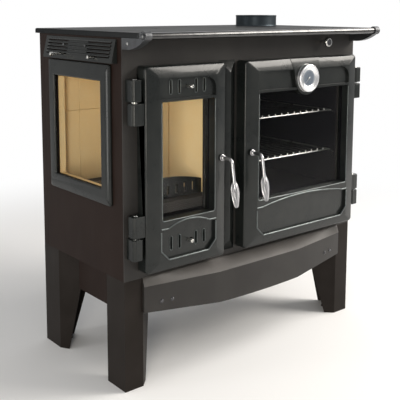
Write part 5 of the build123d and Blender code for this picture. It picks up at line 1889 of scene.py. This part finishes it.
@dataclass
class Hinges:
    """Cast hinges: brackets on the casing, chamfered knuckles, and pins with domed caps."""

    bench: Bench
    doors: tuple[str, ...] = ("firebox_door", "oven_door")
    axes: tuple[Span, ...] = ((-379.0, 52.0), (389.0, 44.0))        # X of the pin, half its length
    axis_y: float = -210.0
    middles: Span = (378.0, 692.0)
    gap: float = 2.4
    knuckle: float = 14.35
    chamfer: float = 5.6
    knuckle_edge: float = 1.6
    bracket_edge: float = 1.2
    pin: float = 4.0

    def square_knuckle(self, x: float, zs: Span) -> bpy.types.Object:
        """The square, chamfered outside of one knuckle.

        Args:
            x: X of its pin.
            zs: its two end heights, in either order.

        Returns:
            The knuckle.
        """
        bench, half = self.bench, self.knuckle
        ys = (self.axis_y - half, self.axis_y + half)
        box = bench.block("knuckle", (x - half, x + half), ys, tuple(sorted(zs)))
        with bench.editing(box, Pick.EDGES):
            bench.pick_edges(box, lambda a, b: abs(a.z - b.z) > 1.0)
            bpy.ops.mesh.bevel(offset=self.chamfer * MM, segments=1)
        return bench.soften(box, self.knuckle_edge, 3)

    def knuckles(self) -> None:
        """The knuckles' outsides: on the casing the outer ones, on the doors the inner ones."""
        low, high = self.middles
        fixed = []
        for door, (x, height) in zip(self.doors, self.axes):
            fixed += [self.square_knuckle(x, (low - self.gap, low - height)),
                      self.square_knuckle(x, (high + self.gap, high + height))]
            moving = [self.square_knuckle(x, (low + self.gap, low + height)),
                      self.square_knuckle(x, (high - self.gap, high - height))]
            self.bench.fit(self.bench.join(f"{door}_knuckles", moving), door, "cast_iron")
        self.bench.fit(self.bench.join("bracket_knuckles", fixed), "casing", "cast_iron")

    def pins(self) -> None:
        """The pins, each with a thrust washer in the middle and a domed cap at either end."""
        bench = self.bench
        made = []
        for x, height in self.axes:
            upper = [(1.2, 7.5), (1.5, 7.3), (1.5, self.pin), (height, self.pin), (height, 5.8),
                     (height + 0.8, 5.6), (height + 2.0, 4.2), (height + 2.4, 1.6)]
            steps = [(-rise, radius) for rise, radius in reversed(upper)] + upper
            made += [bench.turned("pin", (x, self.axis_y, z), UP, steps, 40) for z in self.middles]
        piece = bench.soften(bench.join("hinge_pins_capped", made), 0.0)
        bench.fit(piece, "casing", "bright_steel", replaces=("hinge_pins",))

    def build(self) -> None:
        """Make the hinge pieces."""
        self.bench.dress("hinge_brackets", "casing", self.bracket_edge, 3)
        self.knuckles()
        self.pins()


@dataclass
class DamperKnob:
    """The smoke damper's rod and knob on the front, its flap inside."""

    bench: Bench
    x: float = 262.0
    z: float = 811.0
    knob_y: float = -223.0
    edge: float = 0.8

    def build(self) -> None:
        """Dress the damper and add the knob's rounded face."""
        bench = self.bench
        bench.dress("damper", "damper", self.edge)
        steps = [(0.0, 6.0), (0.4, 8.6), (1.2, 10.8), (2.4, 12.3), (4.0, 13.2), (6.0, 13.2), (7.4, 12.4),
                 (8.2, 11.0), (9.2, 7.0), (13.0, 5.4)]
        knob = bench.turned("damper_knob_face", (self.x, self.knob_y - 0.4, self.z), (0, 1, 0), steps, 56)
        bench.fit(bench.soften(knob, 0.0), "damper", "bright_steel", "dark_steel")


# ------------------------------------------------------------------------------------ the studio
@dataclass
class Studio:
    """Pale floor, soft lamps, pale surroundings and the camera."""

    bench: Bench
    eye: Point = (-1332.674, -1598.191, 904.154)
    yaw: float = 39.62
    pitch: float = 7.586
    roll: float = 0.18146
    lens: float = 67.76
    sensor: float = 36.0
    shift: Span = (-0.0039, -0.23)
    grey: Colour = (0.5, 0.5, 0.5)
    sector: Span = (0.75, 0.93)
    middle: Point = (0.0, 0.0, 500.0)
    floor_size: float = 40.0            # metres

    def ahead(self) -> Point:
        """The level direction in which the camera looks."""
        yaw = math.radians(self.yaw)
        return (math.sin(yaw), math.cos(yaw), 0.0)

    def camera(self) -> None:
        """The camera at the photograph's place: level axes, pitched down, then rolled."""
        yaw, pitch, roll = (math.radians(angle) for angle in (self.yaw, self.pitch, self.roll))
        ahead = Vector((math.sin(yaw) * math.cos(pitch), math.cos(yaw) * math.cos(pitch), -math.sin(pitch)))
        level = Vector((math.cos(yaw), -math.sin(yaw), 0.0))
        above = level.cross(ahead)
        right = level * math.cos(roll) + above * math.sin(roll)
        up = above * math.cos(roll) - level * math.sin(roll)
        data = bpy.data.cameras.new("camera")
        data.sensor_width = self.sensor
        data.lens = self.lens
        data.shift_x, data.shift_y = self.shift
        camera = bpy.data.objects.new("camera", data)
        turn = Matrix((right, up, -ahead)).transposed().to_4x4()
        camera.matrix_world = Matrix.Translation(self.bench.at(self.eye)) @ turn
        bpy.context.scene.collection.objects.link(camera)
        bpy.context.scene.camera = camera

    def floor(self) -> None:
        """A wide pale floor that takes the shadow."""
        origin = self.bench.origin
        bpy.ops.mesh.primitive_grid_add(x_subdivisions=8, y_subdivisions=8, size=self.floor_size,
                                        location=origin)
        floor = self.bench.settle(bpy.context.active_object)
        floor.name = "floor"
        floor.data.materials.append(Backdrop("floor_paper", tuple(origin), self.ahead()).material())

    def lamp(self, name: str, place: Point, size: Span, power: float, colour: Colour) -> None:
        """A soft rectangular lamp that faces the middle of the stove.

        Args:
            name: the lamp's name.
            place: its stove point.
            size: its width and height in metres.
            power: watts.
            colour: colour of its light.
        """
        data = bpy.data.lights.new(name, "AREA")
        data.shape = "RECTANGLE"
        data.size, data.size_y = size
        data.energy = power
        data.color = colour
        lamp = bpy.data.objects.new(name, data)
        lamp.location = self.bench.at(place)
        way = self.bench.at(self.middle) - lamp.location
        lamp.rotation_euler = way.to_track_quat("-Z", "Y").to_euler()
        bpy.context.scene.collection.objects.link(lamp)

    def surroundings(self) -> None:
        """Even grey light all round, white behind the stove."""
        world = bpy.data.worlds.new("surroundings")
        bpy.context.scene.world = world
        nodes = Nodes(world, "ShaderNodeOutputWorld")
        direction = nodes.add("ShaderNodeTexCoord", output="Generated")
        flat = nodes.vector("NORMALIZE", nodes.vector("MULTIPLY", direction, (1.0, 1.0, 0.0)))
        along = nodes.vector("DOT_PRODUCT", flat, self.ahead(), "Value")
        light = nodes.add("ShaderNodeBackground", {}, {"Color": (*self.grey, 1.0)})
        white = nodes.add("ShaderNodeBackground", {}, {"Color": (1.0, 1.0, 1.0, 1.0)})
        nodes.blend(along.step(*self.sector) * nodes.seen_plainly(), light, white)

    def build(self) -> None:
        """Set the scene up."""
        self.camera()
        self.floor()
        self.surroundings()
        self.lamp("key", (2060.0, -1990.0, 1830.0), (1.4, 0.75), 54.0, (1.0, 0.95, 0.88))
        self.lamp("overhead", (1800.0, -1000.0, 2100.0), (1.3, 1.1), 46.0, (1.0, 0.95, 0.89))
        self.lamp("left", (-2400.0, 660.0, 420.0), (0.4, 1.5), 12.0, (1.0, 0.98, 0.95))
        self.lamp("near", (-1900.0, -1750.0, 700.0), (0.5, 1.2), 25.0, (1.0, 0.94, 0.84))
        bpy.context.scene.view_settings.view_transform = "Standard"


def main() -> None:
    """Build the stove and its studio."""
    logging.basicConfig(level=logging.INFO, format="%(name)s: %(message)s")
    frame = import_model()
    bench = Bench(frame)
    parts = (
        Casing(bench), Hob(bench), SideWindow(bench), Firebox(bench), OvenInside(bench),
        CastDoor(bench, "firebox", FIREBOX_X, half=82.0),
        CastDoor(bench, "oven", OVEN_X, half=175.0, boss=(-238.0, 742.0, 9.0)),
        AirSlider(bench, "upper_air_slider", 723.5), AirSlider(bench, "lower_air_slider", 353.5),
        Handle(bench, "firebox", -139.0), Handle(bench, "oven", -38.0),
        Thermometer(bench), Hinges(bench), DamperKnob(bench), Studio(bench),
    )
    for part in parts:
        made = len(bench.placed)
        part.build()
        for name in bench.placed[made:]:
            log.info("%s: %s", type(part).__name__, name)


if __name__ == "__main__":
    main()
